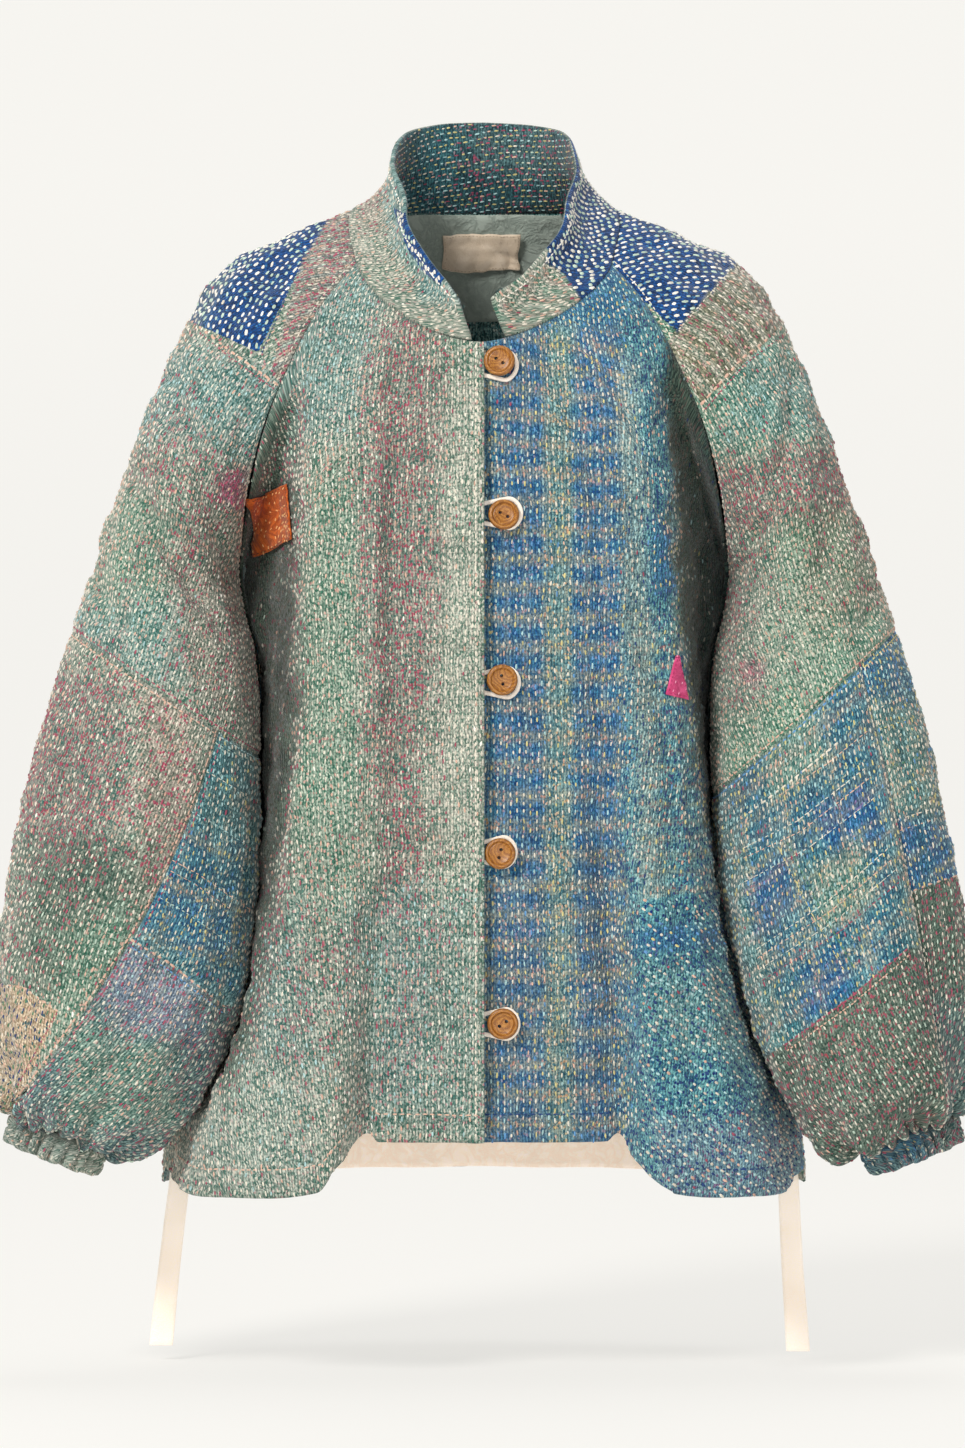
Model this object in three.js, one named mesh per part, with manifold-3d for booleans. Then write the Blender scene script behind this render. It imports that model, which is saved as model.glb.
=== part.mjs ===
// A quilted kantha bomber jacket, filled out as it is when worn, with nobody in it.
// Millimetres. +X is the wearer's left, +Y is the wearer's back and +Z is up.
// The origin is the middle of the neck base, between the shoulders that hold the jacket up.
// Every piece of cloth is a wall: a grid of outer points from short tables of sections,
// and the same grid moved in along the cloth's own normals.
import * as THREE from "three";
import { mergeVertices } from "three/addons/utils/BufferGeometryUtils.js";
import Module from "manifold-3d";

const wasm = await Module();
wasm.setup();

// Driving sizes
const CLOTH = 2.8; // quilted layers of old cotton
const COLLAR_CLOTH = 5; // the collar is two layers, turned
const THIN_CLOTH = 1.2; // patches, casing and label
const SEAM_GAP = 0.46; // between two pieces at a seam
const UNDERARM_Z = -225;
const HEM_Z = -640;
const HEM_RISE = 37; // the hem is this much higher beside the buttons
const RIGHT_EDGE_X = -0.5; // front edge of the wearer's right front
const LEFT_EDGE_X = -8; // the wearer's left front goes on this far under the right one
const OVERLAP_LIFT = 7.2; // the right front lies this far in front of the left one
const OVERLAP_FADE = 46;
const BUTTON_R = 10.3;
const BUTTON_THICK = 4.6;
const LOOP_R = 1.3;
const CUFF_RIBS = 20;
const CUFF_DROP = 19;
const TIE_WIDTH = 14;
const TIE_DROP = 112;

// How finely the walls are cut
const FRONT_COLUMNS = 20;
const BACK_COLUMNS = 26;
const LOWER_ROWS = 12;
const UPPER_ROWS = 7;
const SLEEVE_COLUMNS = 20;
const ELBOW_ROWS = 3;
const LOWER_SLEEVE_ROWS = 10;

const RIGHT = -1; // the wearer's right, where x is negative
const LEFT = 1;

const v3 = (x, y, z) => new THREE.Vector3(x, y, z);
const lerp = THREE.MathUtils.lerp;
const smooth = (low, high, x) => THREE.MathUtils.smoothstep(x, low, high);

// A table is rows of named columns. This reads it between rows with a smooth curve.
function tableAt(table, key, at) {
  const last = table.length - 1;
  const rising = table[last][key] > table[0][key];
  let i = 0;
  while (i < last - 1 && (rising ? at > table[i + 1][key] : at < table[i + 1][key])) i++;
  const [a, b] = [table[i], table[i + 1]];
  const [before, after] = [table[Math.max(0, i - 1)], table[Math.min(last, i + 2)]];
  const span = b[key] - a[key];
  const t = THREE.MathUtils.clamp((at - a[key]) / span, 0, 1);
  const row = {};
  for (const name in a) {
    const slopeA = (b[name] - before[name]) / (b[key] - before[key]);
    const slopeB = (after[name] - a[name]) / (after[key] - a[key]);
    row[name] = hermite(a[name], slopeA * span, b[name], slopeB * span, t);
  }
  return row;
}

function hermite(p0, d0, p1, d1, t) {
  const [t2, t3] = [t * t, t * t * t];
  return p0 * (2 * t3 - 3 * t2 + 1) + d0 * (t3 - 2 * t2 + t) + p1 * (3 * t2 - 2 * t3) + d1 * (t3 - t2);
}

const arc = (p0, d0, p1, d1, t) =>
  v3(hermite(p0.x, d0.x, p1.x, d1.x, t), hermite(p0.y, d0.y, p1.y, d1.y, t), hermite(p0.z, d0.z, p1.z, d1.z, t));

// Front above the underarm. at: 0 at the neck and 1 at the underarm. From the middle (cy, cz, and
// pull, how straight it starts) to the raglan seam (x, y, z), where the cloth runs towards (tx, ty, tz).
const frontRows = [
  { at: 0.0, cy: -101, cz: -75, pull: 118, x: 86, y: -45, z: -17, tx: 12, ty: 92, tz: 66 },
  { at: 0.2, cy: -107, cz: -105, pull: 165, x: 111, y: -68, z: -50, tx: 82, ty: 62, tz: 30 },
  { at: 0.4, cy: -113, cz: -135, pull: 210, x: 132, y: -82, z: -92, tx: 105, ty: 58, tz: 14 },
  { at: 0.6, cy: -118, cz: -165, pull: 250, x: 148, y: -78, z: -133, tx: 92, ty: 92, tz: 6 },
  { at: 0.8, cy: -122, cz: -195, pull: 278, x: 159, y: -54, z: -178, tx: 60, ty: 142, tz: 2 },
  { at: 1.0, cy: -126, cz: -225, pull: 325, x: 166, y: -10, z: -225, tx: 24, ty: 240, tz: 0 },
];
// Back above the underarm, from the middle of the back to the back raglan seam.
const backRows = [
  { at: 0.0, cy: 72, cz: 24, pull: 92, x: 66, y: 55, z: 24, tx: 46, ty: -34, tz: 0 },
  { at: 0.2, cy: 94, cz: -26, pull: 140, x: 97, y: 80, z: -20, tx: 74, ty: -34, tz: 6 },
  { at: 0.4, cy: 108, cz: -78, pull: 185, x: 122, y: 92, z: -64, tx: 96, ty: -44, tz: 4 },
  { at: 0.6, cy: 114, cz: -130, pull: 238, x: 143, y: 82, z: -114, tx: 88, ty: -92, tz: 2 },
  { at: 0.8, cy: 117, cz: -180, pull: 280, x: 158, y: 48, z: -168, tx: 52, ty: -150, tz: 0 },
  { at: 1.0, cy: 120, cz: -225, pull: 330, x: 166, y: -10, z: -225, tx: 24, ty: -270, tz: 0 },
];
// Body below the underarm: half width, where the side seam lies, and how deep the front and back are.
const bodyRows = [
  { z: -225, half: 166, sideY: -10, front: -126, back: 120 },
  { z: -300, half: 178, sideY: 0, front: -132, back: 125 },
  { z: -400, half: 190, sideY: 0, front: -138, back: 133 },
  { z: -500, half: 203, sideY: 0, front: -141, back: 141 },
  { z: -580, half: 213, sideY: 0, front: -142, back: 147 },
  { z: -640, half: 219, sideY: 0, front: -142, back: 152 },
];
const FULLNESS = 1.84; // 1.66 would be an ellipse, and more is squarer

// Sleeve sections from the neck to the underarm: front seam, shoulder line and back seam, and the
// way that the cloth runs at each of them.
const capRows = [
  { at: 0.0, ax: 90, ay: 5, az: 20, ux: -12, uy: 62, uz: 22, fx: 14, fy: 62, fz: 50, bx: -42, by: 30, bz: 0 },
  { at: 0.2, ax: 139, ay: 4, az: 1, ux: 0, uy: 98, uz: 6, fx: 42, fy: 44, fz: 68, bx: -50, by: 32, bz: -40 },
  { at: 0.4, ax: 176, ay: 2, az: -20, ux: 0, uy: 128, uz: 0, fx: 74, fy: 4, fz: 84, bx: -92, by: 0, bz: -62 },
  { at: 0.6, ax: 205, ay: 0, az: -61, ux: 0, uy: 172, uz: 0, fx: 92, fy: -66, fz: 76, bx: -106, by: -60, bz: -56 },
  { at: 0.8, ax: 227, ay: -3, az: -112, ux: 0, uy: 238, uz: 0, fx: 78, fy: -190, fz: 40, bx: -78, by: -180, bz: -30 },
  { at: 1.0, ax: 247, ay: -8, az: -170, ux: 0, uy: 310, uz: 0, fx: 44, fy: -300, fz: 10, bx: -30, by: -315, bz: 0 },
];
// Sleeve rings below the underarm: outer point, inner point on each side, the arm's middle, and
// how far the ring bulges forwards and backwards.
const ringRows = [
  { at: 2, ox: 262, oz: -215, rightX: 155, rightZ: -285, leftX: 155, leftZ: -292, y: -28, front: 80, back: 80 },
  { at: 3, ox: 277, oz: -266, rightX: 151, rightZ: -350, leftX: 154, leftZ: -376, y: -44, front: 84, back: 80 },
  { at: 4, ox: 300, oz: -345, rightX: 152, rightZ: -430, leftX: 160, leftZ: -446, y: -60, front: 86, back: 80 },
  { at: 5, ox: 317, oz: -425, rightX: 158, rightZ: -500, leftX: 172, leftZ: -508, y: -72, front: 88, back: 82 },
  { at: 6, ox: 327, oz: -495, rightX: 174, rightZ: -552, leftX: 188, leftZ: -555, y: -80, front: 86, back: 80 },
  { at: 7, ox: 329, oz: -545, rightX: 198, rightZ: -590, leftX: 209, leftZ: -590, y: -84, front: 76, back: 72 },
  { at: 8, ox: 324, oz: -573, rightX: 225, rightZ: -611, leftX: 228, leftZ: -611, y: -87, front: 58, back: 56 },
  { at: 9, ox: 317, oz: -584, rightX: 241, rightZ: -615, leftX: 241, leftZ: -615, y: -89, front: 41, back: 40 },
  { at: 10, ox: 312, oz: -588, rightX: 253, rightZ: -611, leftX: 253, leftZ: -611, y: -90, front: 30, back: 30 },
];
const UNDERARM = 1;
const ELBOW = 3;
const WRIST = 10;
// Where the two lower sleeve panels meet, as a share of the way round, at the elbow and at the cuff.
const lowerSleeveSeams = {
  [RIGHT]: { frontElbow: 0.14, frontCuff: 0.46, backElbow: 0.8, backCuff: 0.74 },
  [LEFT]: { frontElbow: 0.35, frontCuff: 0.36, backElbow: 0.8, backCuff: 0.74 },
};
const lowerSleeveColumns = { [RIGHT]: [12, 28], [LEFT]: [16, 24] }; // outer panel, inner panel
// Soft folds along each sleeve, by share of the way round at the top and bottom of the fold.
const sleeveFolds = [
  { side: LEFT, from: 3.0, to: 8.6, top: 0.37, bottom: 0.37, width: 0.035, depth: -9 },
  { side: LEFT, from: 2.2, to: 6.5, top: 0.12, bottom: 0.2, width: 0.04, depth: -5 },
  { side: RIGHT, from: 3.2, to: 8.4, top: 0.12, bottom: 0.26, width: 0.04, depth: -6 },
  { side: RIGHT, from: 1.5, to: 5.5, top: 0.34, bottom: 0.38, width: 0.05, depth: -4 },
  { side: LEFT, from: 1.2, to: 5.0, top: 0.7, bottom: 0.66, width: 0.05, depth: -6 },
  { side: RIGHT, from: 1.2, to: 5.0, top: 0.72, bottom: 0.64, width: 0.05, depth: -6 },
];
const GATHERS = 9; // soft waves where the sleeve is drawn into the cuff

// The full table of sleeve sections on one side, each with its seam points and directions.
function sleeveTable(side) {
  const caps = capRows.map((c) => {
    const [f, b] = [tableAt(frontRows, "at", c.at), tableAt(backRows, "at", c.at)];
    const row = { at: c.at, ax: c.ax, ay: c.ay, az: c.az, ux: c.ux, uy: c.uy, uz: c.uz, wy: c.uy };
    Object.assign(row, { fx: c.fx, fy: c.fy, fz: c.fz, bx: c.bx, by: c.by, bz: c.bz });
    return Object.assign(row, { px: f.x, py: f.y, pz: f.z, qx: b.x, qy: b.y, qz: b.z });
  });
  const rings = ringRows.map((r) => {
    const [ix, iz] = side === RIGHT ? [r.rightX, r.rightZ] : [r.leftX, r.leftZ];
    const row = { at: r.at, ax: r.ox, ay: r.y, az: r.oz, ux: 0, uy: 4 * r.front, uz: 0, wy: 4 * r.back };
    Object.assign(row, { fx: 0, fy: -4 * r.front, fz: 0, bx: 0, by: -4 * r.back, bz: 0 });
    return Object.assign(row, { px: ix, py: r.y, pz: iz, qx: ix, qy: r.y, qz: iz });
  });
  return [...caps, ...rings];
}
const sleeveTables = { [RIGHT]: sleeveTable(RIGHT), [LEFT]: sleeveTable(LEFT) };

// The sleeve before its folds. s runs down the sleeve and v round it, from the front seam at 0,
// over the outside at 0.5, to the back seam at 1.
function sleeveSection(side, s, v) {
  let r = tableAt(sleeveTables[side], "at", s);
  if (s <= UNDERARM) {
    const [f, b] = [tableAt(frontRows, "at", s), tableAt(backRows, "at", s)];
    r = { ...r, px: f.x, py: f.y, pz: f.z, qx: b.x, qy: b.y, qz: b.z };
  }
  const outer = v3(r.ax, r.ay, r.az);
  const p = v < 0.5
    ? arc(v3(r.px, r.py, r.pz), v3(r.fx, r.fy, r.fz), outer, v3(r.ux, r.uy, r.uz), 2 * v)
    : arc(outer, v3(r.ux, r.wy, r.uz), v3(r.qx, r.qy, r.qz), v3(r.bx, r.by, r.bz), 2 * v - 1);
  return p;
}

function sleevePoint(side, s, v) {
  const p = sleeveSection(side, s, v);
  let push = 0;
  for (const f of sleeveFolds) {
    if (f.side !== side || s < f.from || s > f.to) continue;
    const t = (s - f.from) / (f.to - f.from);
    const away = (v - lerp(f.top, f.bottom, t)) / f.width;
    push += f.depth * Math.sin(Math.PI * t) * Math.exp(-away * away);
  }
  push += 5 * smooth(6.5, 8.7, s) * (1 - smooth(9, WRIST, s)) * Math.sin(2 * Math.PI * GATHERS * v);
  if (push) {
    const middle = sleeveSection(side, s, 0).add(sleeveSection(side, s, 0.5)).multiplyScalar(0.5);
    p.addScaledVector(p.clone().sub(middle).normalize(), push);
  }
  return v3(side * p.x, p.y, p.z);
}

// The outline of one sleeve cut level at a height, for the body to keep clear of.
const OUTLINE_STEPS = 40;
const SLICE_ROWS = 60;
const sleeveNets = {};
for (const side of [RIGHT, LEFT]) {
  sleeveNets[side] = Array.from({ length: OUTLINE_STEPS }, (_, j) =>
    Array.from({ length: SLICE_ROWS + 1 }, (_, i) => {
      const p = sleevePoint(side, (WRIST * i) / SLICE_ROWS, j / OUTLINE_STEPS);
      return v3(Math.abs(p.x), p.y, p.z);
    }));
}
const outlines = new Map();
function sleeveOutline(side, z) {
  const key = side + ":" + z.toFixed(2);
  if (!outlines.has(key)) {
    const cut = [];
    for (const line of sleeveNets[side]) {
      const i = line.findIndex((p, k) => k < SLICE_ROWS && p.z >= z && line[k + 1].z < z);
      if (i < 0) continue;
      cut.push(line[i].clone().lerp(line[i + 1], (line[i].z - z) / (line[i].z - line[i + 1].z)));
    }
    outlines.set(key, cut);
  }
  return outlines.get(key);
}

// How far out from the body's middle the cloth may go before it meets the sleeve, at angle (dx, dy).
function roomTo(side, z, dx, dy) {
  const cut = sleeveOutline(side, z);
  let room = Infinity;
  cut.forEach((a, i) => {
    const b = cut[(i + 1) % cut.length];
    const [ex, ey] = [b.x - a.x, b.y - a.y];
    const det = dx * ey - dy * ex;
    if (Math.abs(det) < 1e-9) return;
    const r = (a.x * ey - a.y * ex) / det;
    const along = (a.x * dy - a.y * dx) / det;
    if (r > 0 && along >= 0 && along <= 1) room = Math.min(room, r);
  });
  return room;
}

// Flared folds of the fronts: from the steep edge beside the buttons (on each side) to where the
// fold dies away, and how far it stands out.
const flareRows = [
  { z: -75, rightEdge: 56, leftEdge: 66, outFrom: 92, outTo: 116, out: 0, side: 0 },
  { z: -150, rightEdge: 58, leftEdge: 70, outFrom: 104, outTo: 132, out: 5, side: 4 },
  { z: -225, rightEdge: 60, leftEdge: 74, outFrom: 110, outTo: 140, out: 9, side: 5 },
  { z: -300, rightEdge: 62, leftEdge: 78, outFrom: 116, outTo: 146, out: 12, side: 5 },
  { z: -400, rightEdge: 65, leftEdge: 82, outFrom: 122, outTo: 160, out: 17, side: 2 },
  { z: -500, rightEdge: 70, leftEdge: 87, outFrom: 135, outTo: 185, out: 25, side: 0 },
  { z: -580, rightEdge: 75, leftEdge: 93, outFrom: 150, outTo: 205, out: 34, side: 0 },
  { z: -640, rightEdge: 78, leftEdge: 98, outFrom: 160, outTo: 219, out: 40, side: 0 },
];
// Fold on the wearer's left between the flare and the armhole.
const SIDE_FOLD_X = 133;
const SIDE_FOLD_WIDTH = 9;
const EDGE_WIDTH = 13;
// Soft folds down the back, by x at the hem.
const backFolds = [
  { x: -150, width: 24, out: 17 },
  { x: -78, width: 26, out: 14 },
  { x: -4, width: 30, out: 19 },
  { x: 74, width: 26, out: 13 },
  { x: 148, width: 24, out: 18 },
];

const edgeOf = (side, row) => (side === RIGHT ? row.rightEdge : row.leftEdge);

function hemZ(side, isFront, x) {
  if (!isFront) return HEM_Z;
  const edge = edgeOf(side, flareRows[flareRows.length - 1]);
  return HEM_Z + HEM_RISE * (1 - smooth(edge - 1, edge + EDGE_WIDTH - 2, x));
}

// Adds folds to a point of the body and keeps it clear of the sleeve. x is positive on both sides.
function drape(side, isFront, p, fade) {
  const below = -p.z;
  const body = tableAt(bodyRows, "z", Math.min(p.z, UNDERARM_Z));
  const depth = isFront ? body.front : body.back;
  const out = v3(p.x / body.half ** 2, p.y / depth ** 2, 0).normalize();
  let push = 0;
  if (isFront) {
    const row = tableAt(flareRows, "z", Math.min(p.z, flareRows[0].z));
    const edge = edgeOf(side, row);
    push += row.out * smooth(edge, edge + EDGE_WIDTH, p.x) * (1 - smooth(row.outFrom, row.outTo, p.x));
    if (side === LEFT) push += row.side * Math.exp(-(((p.x - SIDE_FOLD_X) / SIDE_FOLD_WIDTH) ** 2));
  } else {
    const down = smooth(150, 640, below);
    for (const f of backFolds) {
      const away = (side * p.x - f.x * lerp(0.82, 1, down)) / f.width;
      push += f.out * down * Math.exp(-away * away);
    }
  }
  p.addScaledVector(out, push * fade);
  if (p.z < UNDERARM_Z + 0.01) {
    const r = Math.hypot(p.x, p.y);
    const angle = Math.atan2(p.y, p.x);
    const near = 0.07 * smooth(0, 40, UNDERARM_Z - p.z);
    const rooms = [-near, 0, near].map((turn) => roomTo(side, p.z, Math.cos(angle + turn), Math.sin(angle + turn)));
    const room = Math.min(...rooms) - 6 * smooth(0, 24, UNDERARM_Z - p.z);
    if (room < r) {
      p.x *= room / r;
      p.y *= room / r;
    }
  }
  if (isFront && side === RIGHT) p.y -= OVERLAP_LIFT * (1 - smooth(0, OVERLAP_FADE, p.x));
  return v3(side * p.x, p.y, p.z);
}

// A point of the body. u is 0 at the middle and 1 at the side or raglan seam; w is 0 at the hem,
// 1 level with the underarm and 2 at the neck.
function bodyPoint(side, isFront, u, w) {
  const edge = isFront ? (side === RIGHT ? -RIGHT_EDGE_X : LEFT_EDGE_X) : 0;
  if (w > 1) {
    const r = tableAt(isFront ? frontRows : backRows, "at", 2 - w);
    const p = arc(v3(edge, r.cy, r.cz), v3(r.pull, 0, 0), v3(r.x, r.y, r.z), v3(r.tx, r.ty, r.tz), u);
    return drape(side, isFront, p, (1 - smooth(0.8, 1, u)) * (1 - smooth(1.7, 2, w)));
  }
  const hemX = tableAt(bodyRows, "z", HEM_Z).half * hermite(0, FULLNESS, 1, 0, u);
  const z = lerp(hemZ(side, isFront, hemX), UNDERARM_Z, w);
  const b = tableAt(bodyRows, "z", z);
  const depth = isFront ? b.front : b.back;
  const middle = v3(edge, depth, z);
  const join = smooth(0.7, 1, w);
  const top = isFront ? frontRows[frontRows.length - 1] : backRows[backRows.length - 1];
  const pull = v3(lerp(FULLNESS * b.half, top.pull, join), 0, 0);
  const end = v3(top.tx * join, lerp(-FULLNESS * depth, top.ty, join), 0);
  const p = arc(middle, pull, v3(b.half, b.sideY, z), end, u);
  return drape(side, isFront, p, 1);
}

// A grid is rows of points, from a function of two shares. Its normals come from the same function.
function panel(point, rows, columns, inside) {
  const step = 1e-3;
  const clampTo = (list, x) => Math.min(Math.max(x, list[0]), list[list.length - 1]);
  const grid = rows.map((w) => columns.map((u) => point(u, w)));
  const normals = rows.map((w, i) => columns.map((u, j) => {
    const du = point(clampTo(columns, u + step), w).sub(point(clampTo(columns, u - step), w));
    const dw = point(u, clampTo(rows, w + step)).sub(point(u, clampTo(rows, w - step)));
    const n = du.cross(dw).normalize();
    if (n.dot(grid[i][j].clone().sub(inside(grid[i][j], w))) < 0) n.negate();
    return n;
  }));
  return { grid, normals };
}

const bodyInside = (p) => v3(p.x * 0.4, p.y * 0.1, p.z - 45);
const even = (count, from = 0, to = 1) => Array.from({ length: count + 1 }, (_, i) => lerp(from, to, i / count));

// Columns of a front, closer together at the steep edge of its flare.
const steepEdge = { [RIGHT]: [0.205, 0.25], [LEFT]: [0.27, 0.315] };
function frontColumns(side) {
  const [from, to] = steepEdge[side];
  const before = side === RIGHT ? 4 : 5;
  const after = FRONT_COLUMNS - before - 2;
  return [...even(before, 0, from), ...even(2, from, to).slice(1), ...even(after, to, 1).slice(1)];
}
const lowerRows = even(LOWER_ROWS).map((t) => 1 - (1 - t) ** 1.35);
const upperRows = even(UPPER_ROWS, 1, 2);
const bodyRowList = [...lowerRows, ...upperRows.slice(1)];

function frontPanel(side) {
  return panel((u, w) => bodyPoint(side, true, u, w), bodyRowList, frontColumns(side), bodyInside);
}

// The back goes from the wearer's right seam, at 0, to the left one, at 1.
const backPoint = (u, w) => (u < 0.5 ? bodyPoint(RIGHT, false, 1 - 2 * u, w) : bodyPoint(LEFT, false, 2 * u - 1, w));
const backPanel = () => panel(backPoint, bodyRowList, even(BACK_COLUMNS), bodyInside);

function sleeveInside(side) {
  return (p, s) => {
    if (s < UNDERARM) return v3(side * Math.abs(p.x) * 0.75, 0, p.z - 70);
    return sleevePoint(side, s, 0.02).add(sleevePoint(side, s, 0.5)).multiplyScalar(0.5);
  };
}
const capList = even(UPPER_ROWS, 0, 1);
const elbowList = even(ELBOW_ROWS, UNDERARM, ELBOW);
const lowerSleeveList = even(LOWER_SLEEVE_ROWS).map((t) => lerp(ELBOW, WRIST, t ** 0.9));

function upperSleeve(side) {
  const rows = [...capList, ...elbowList.slice(1)];
  return panel((v, s) => sleevePoint(side, s, v), rows, even(SLEEVE_COLUMNS), sleeveInside(side));
}

// One lower sleeve panel: the outer one lies between its two seams, and the inner one goes round under the arm.
function lowerSleeve(side, isOuter) {
  const seam = lowerSleeveSeams[side];
  const point = (c, s) => {
    const t = (s - ELBOW) / (WRIST - ELBOW);
    const front = lerp(seam.frontElbow, seam.frontCuff, t);
    const back = lerp(seam.backElbow, seam.backCuff, t);
    const v = isOuter ? lerp(front, back, c) : lerp(back - 1, front, c);
    return sleevePoint(side, s, v < 0 ? v + 1 : v);
  };
  return panel(point, lowerSleeveList, even(lowerSleeveColumns[side][isOuter ? 0 : 1]), sleeveInside(side));
}

// Pieces that meet share their points at the seam, so their normals there are made one.
function shareNormals(panels) {
  const sums = new Map();
  const keyOf = (p) => [p.x, p.y, p.z].map((c) => Math.round(c * 50)).join();
  const each = (visit) => panels.forEach((q) => q.grid.forEach((row, i) => row.forEach((p, j) => visit(q, i, j, keyOf(p)))));
  each((q, i, j, key) => sums.set(key, (sums.get(key) || v3(0, 0, 0)).add(q.normals[i][j])));
  each((q, i, j, key) => (q.normals[i][j] = sums.get(key).clone().normalize()));
}

// How far each point of a grid moves back from its sewn edges. sewn names those edges.
function seamShifts({ grid, normals }, sewn) {
  const [m, n] = [grid.length - 1, grid[0].length - 1];
  const shift = grid.map((row) => row.map(() => v3(0, 0, 0)));
  const moveBack = (i, j, next, before, after) => {
    const along = after.clone().sub(before);
    const way = normals[i][j].clone().cross(along).normalize();
    if (way.dot(next.clone().sub(grid[i][j])) < 0) way.negate();
    shift[i][j].addScaledVector(way, SEAM_GAP / 2);
  };
  const nextTo = (list, k) => [list[Math.max(0, k - 1)], list[Math.min(list.length - 1, k + 1)]];
  for (let j = 0; j <= n; j++) {
    if (sewn.includes("first")) moveBack(0, j, grid[1][j], ...nextTo(grid[0], j));
    if (sewn.includes("last")) moveBack(m, j, grid[m - 1][j], ...nextTo(grid[m], j));
  }
  const edges = [[0, 1, "start"], [n, n - 1, "end"]].filter((e) => sewn.includes(e[2]));
  for (const [j, inner] of edges) {
    const line = grid.map((row) => row[j]);
    for (let i = 0; i <= m; i++) moveBack(i, j, grid[i][inner], ...nextTo(line, i));
  }
  return shift;
}

// A wall of cloth from a grid: its outer points, out from the panel by lift, and the inner ones.
function wallGeometry({ grid, normals }, thickness, { sewn = [], lift = 0, closed = false } = {}) {
  const [rows, columns] = [grid.length, grid[0].length];
  const shift = seamShifts({ grid, normals }, sewn);
  const points = [];
  for (const depth of [lift, lift - thickness])
    grid.forEach((row, i) => row.forEach((p, j) =>
      points.push(p.clone().addScaledVector(normals[i][j], depth).add(shift[i][j]))));
  const layer = rows * columns;
  const at = (i, j, k) => k * layer + i * columns + (j % columns);
  const index = [];
  const quad = (a, b, c, d) => index.push(a, b, c, a, c, d);
  // Both pieces at a seam split the strip between their two faces the same way, from its lower end.
  const rim = (a, b, innerB, innerA) => {
    if (points[a].z < points[b].z) quad(a, b, innerB, innerA);
    else quad(b, innerB, innerA, a);
  };
  const spans = closed ? columns : columns - 1;
  for (let i = 0; i < rows - 1; i++)
    for (let j = 0; j < spans; j++) {
      quad(at(i, j, 0), at(i, j + 1, 0), at(i + 1, j + 1, 0), at(i + 1, j, 0));
      quad(at(i, j, 1), at(i + 1, j, 1), at(i + 1, j + 1, 1), at(i, j + 1, 1));
    }
  for (let j = 0; j < spans; j++) {
    rim(at(0, j + 1, 0), at(0, j, 0), at(0, j, 1), at(0, j + 1, 1));
    rim(at(rows - 1, j, 0), at(rows - 1, j + 1, 0), at(rows - 1, j + 1, 1), at(rows - 1, j, 1));
  }
  for (let i = 0; i < rows - 1 && !closed; i++) {
    const n = columns - 1;
    rim(at(i, 0, 0), at(i + 1, 0, 0), at(i + 1, 0, 1), at(i, 0, 1));
    rim(at(i + 1, n, 0), at(i, n, 0), at(i, n, 1), at(i + 1, n, 1));
  }
  return facingOut(points, index);
}

// A closed geometry from points and triangles, turned so that its faces point out.
function facingOut(points, index) {
  let volume = 0;
  for (let i = 0; i < index.length; i += 3) {
    const [a, b, c] = [points[index[i]], points[index[i + 1]], points[index[i + 2]]];
    volume += a.dot(b.clone().cross(c));
  }
  if (volume < 0) for (let i = 0; i < index.length; i += 3) [index[i], index[i + 1]] = [index[i + 1], index[i]];
  const geometry = new THREE.BufferGeometry().setFromPoints(points);
  geometry.setIndex(index);
  return geometry;
}

function cloth(name, colour, geometry, roughness = 0.95) {
  const mesh = new THREE.Mesh(geometry, new THREE.MeshStandardMaterial({ color: colour, roughness, metalness: 0 }));
  mesh.name = name;
  return mesh;
}

// The garment's panels
const fronts = { [RIGHT]: frontPanel(RIGHT), [LEFT]: frontPanel(LEFT) };
const back = backPanel();
const uppers = { [RIGHT]: upperSleeve(RIGHT), [LEFT]: upperSleeve(LEFT) };
const outers = { [RIGHT]: lowerSleeve(RIGHT, true), [LEFT]: lowerSleeve(LEFT, true) };
const inners = { [RIGHT]: lowerSleeve(RIGHT, false), [LEFT]: lowerSleeve(LEFT, false) };
shareNormals([fronts[RIGHT], fronts[LEFT], back, uppers[RIGHT], uppers[LEFT]]);
for (const side of [RIGHT, LEFT]) {
  shareNormals([outers[side], inners[side]]);
  cutSquare(uppers[side].normals[UPPER_ROWS + ELBOW_ROWS], side, ELBOW);
  for (const p of [outers[side], inners[side]]) cutSquare(p.normals[0], side, ELBOW);
}

// At the elbow seam the walls end square to the sleeve, so that the ends meet flat.
function cutSquare(normals, side, s) {
  const across = sleevePoint(side, s, 0.5).sub(sleevePoint(side, s, 0)).normalize();
  const down = across.cross(v3(0, 1, 0)).normalize();
  normals.forEach((n) => n.addScaledVector(down, -n.dot(down)).normalize());
}

const group = new THREE.Group();
const SIDE_NAMES = { [RIGHT]: "right", [LEFT]: "left" };
const FRONT_COLOURS = { [RIGHT]: "#8fb0a0", [LEFT]: "#3f7f9f" };
for (const side of [RIGHT, LEFT]) {
  const name = SIDE_NAMES[side];
  const all = ["first", "last", "start", "end"];
  group.add(cloth("front_" + name, FRONT_COLOURS[side], wallGeometry(fronts[side], CLOTH, { sewn: ["last", "end"] })));
  group.add(cloth("sleeve_upper_" + name, "#7f9f8f", wallGeometry(uppers[side], CLOTH, { sewn: all })));
  group.add(cloth("sleeve_outer_" + name, "#a08f8f", wallGeometry(outers[side], CLOTH, { sewn: all })));
  group.add(cloth("sleeve_inner_" + name, "#4f8090", wallGeometry(inners[side], CLOTH, { sewn: all })));
}
group.add(cloth("back", "#5f8f8a", wallGeometry(back, CLOTH, { sewn: ["last", "start", "end"] })));

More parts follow.
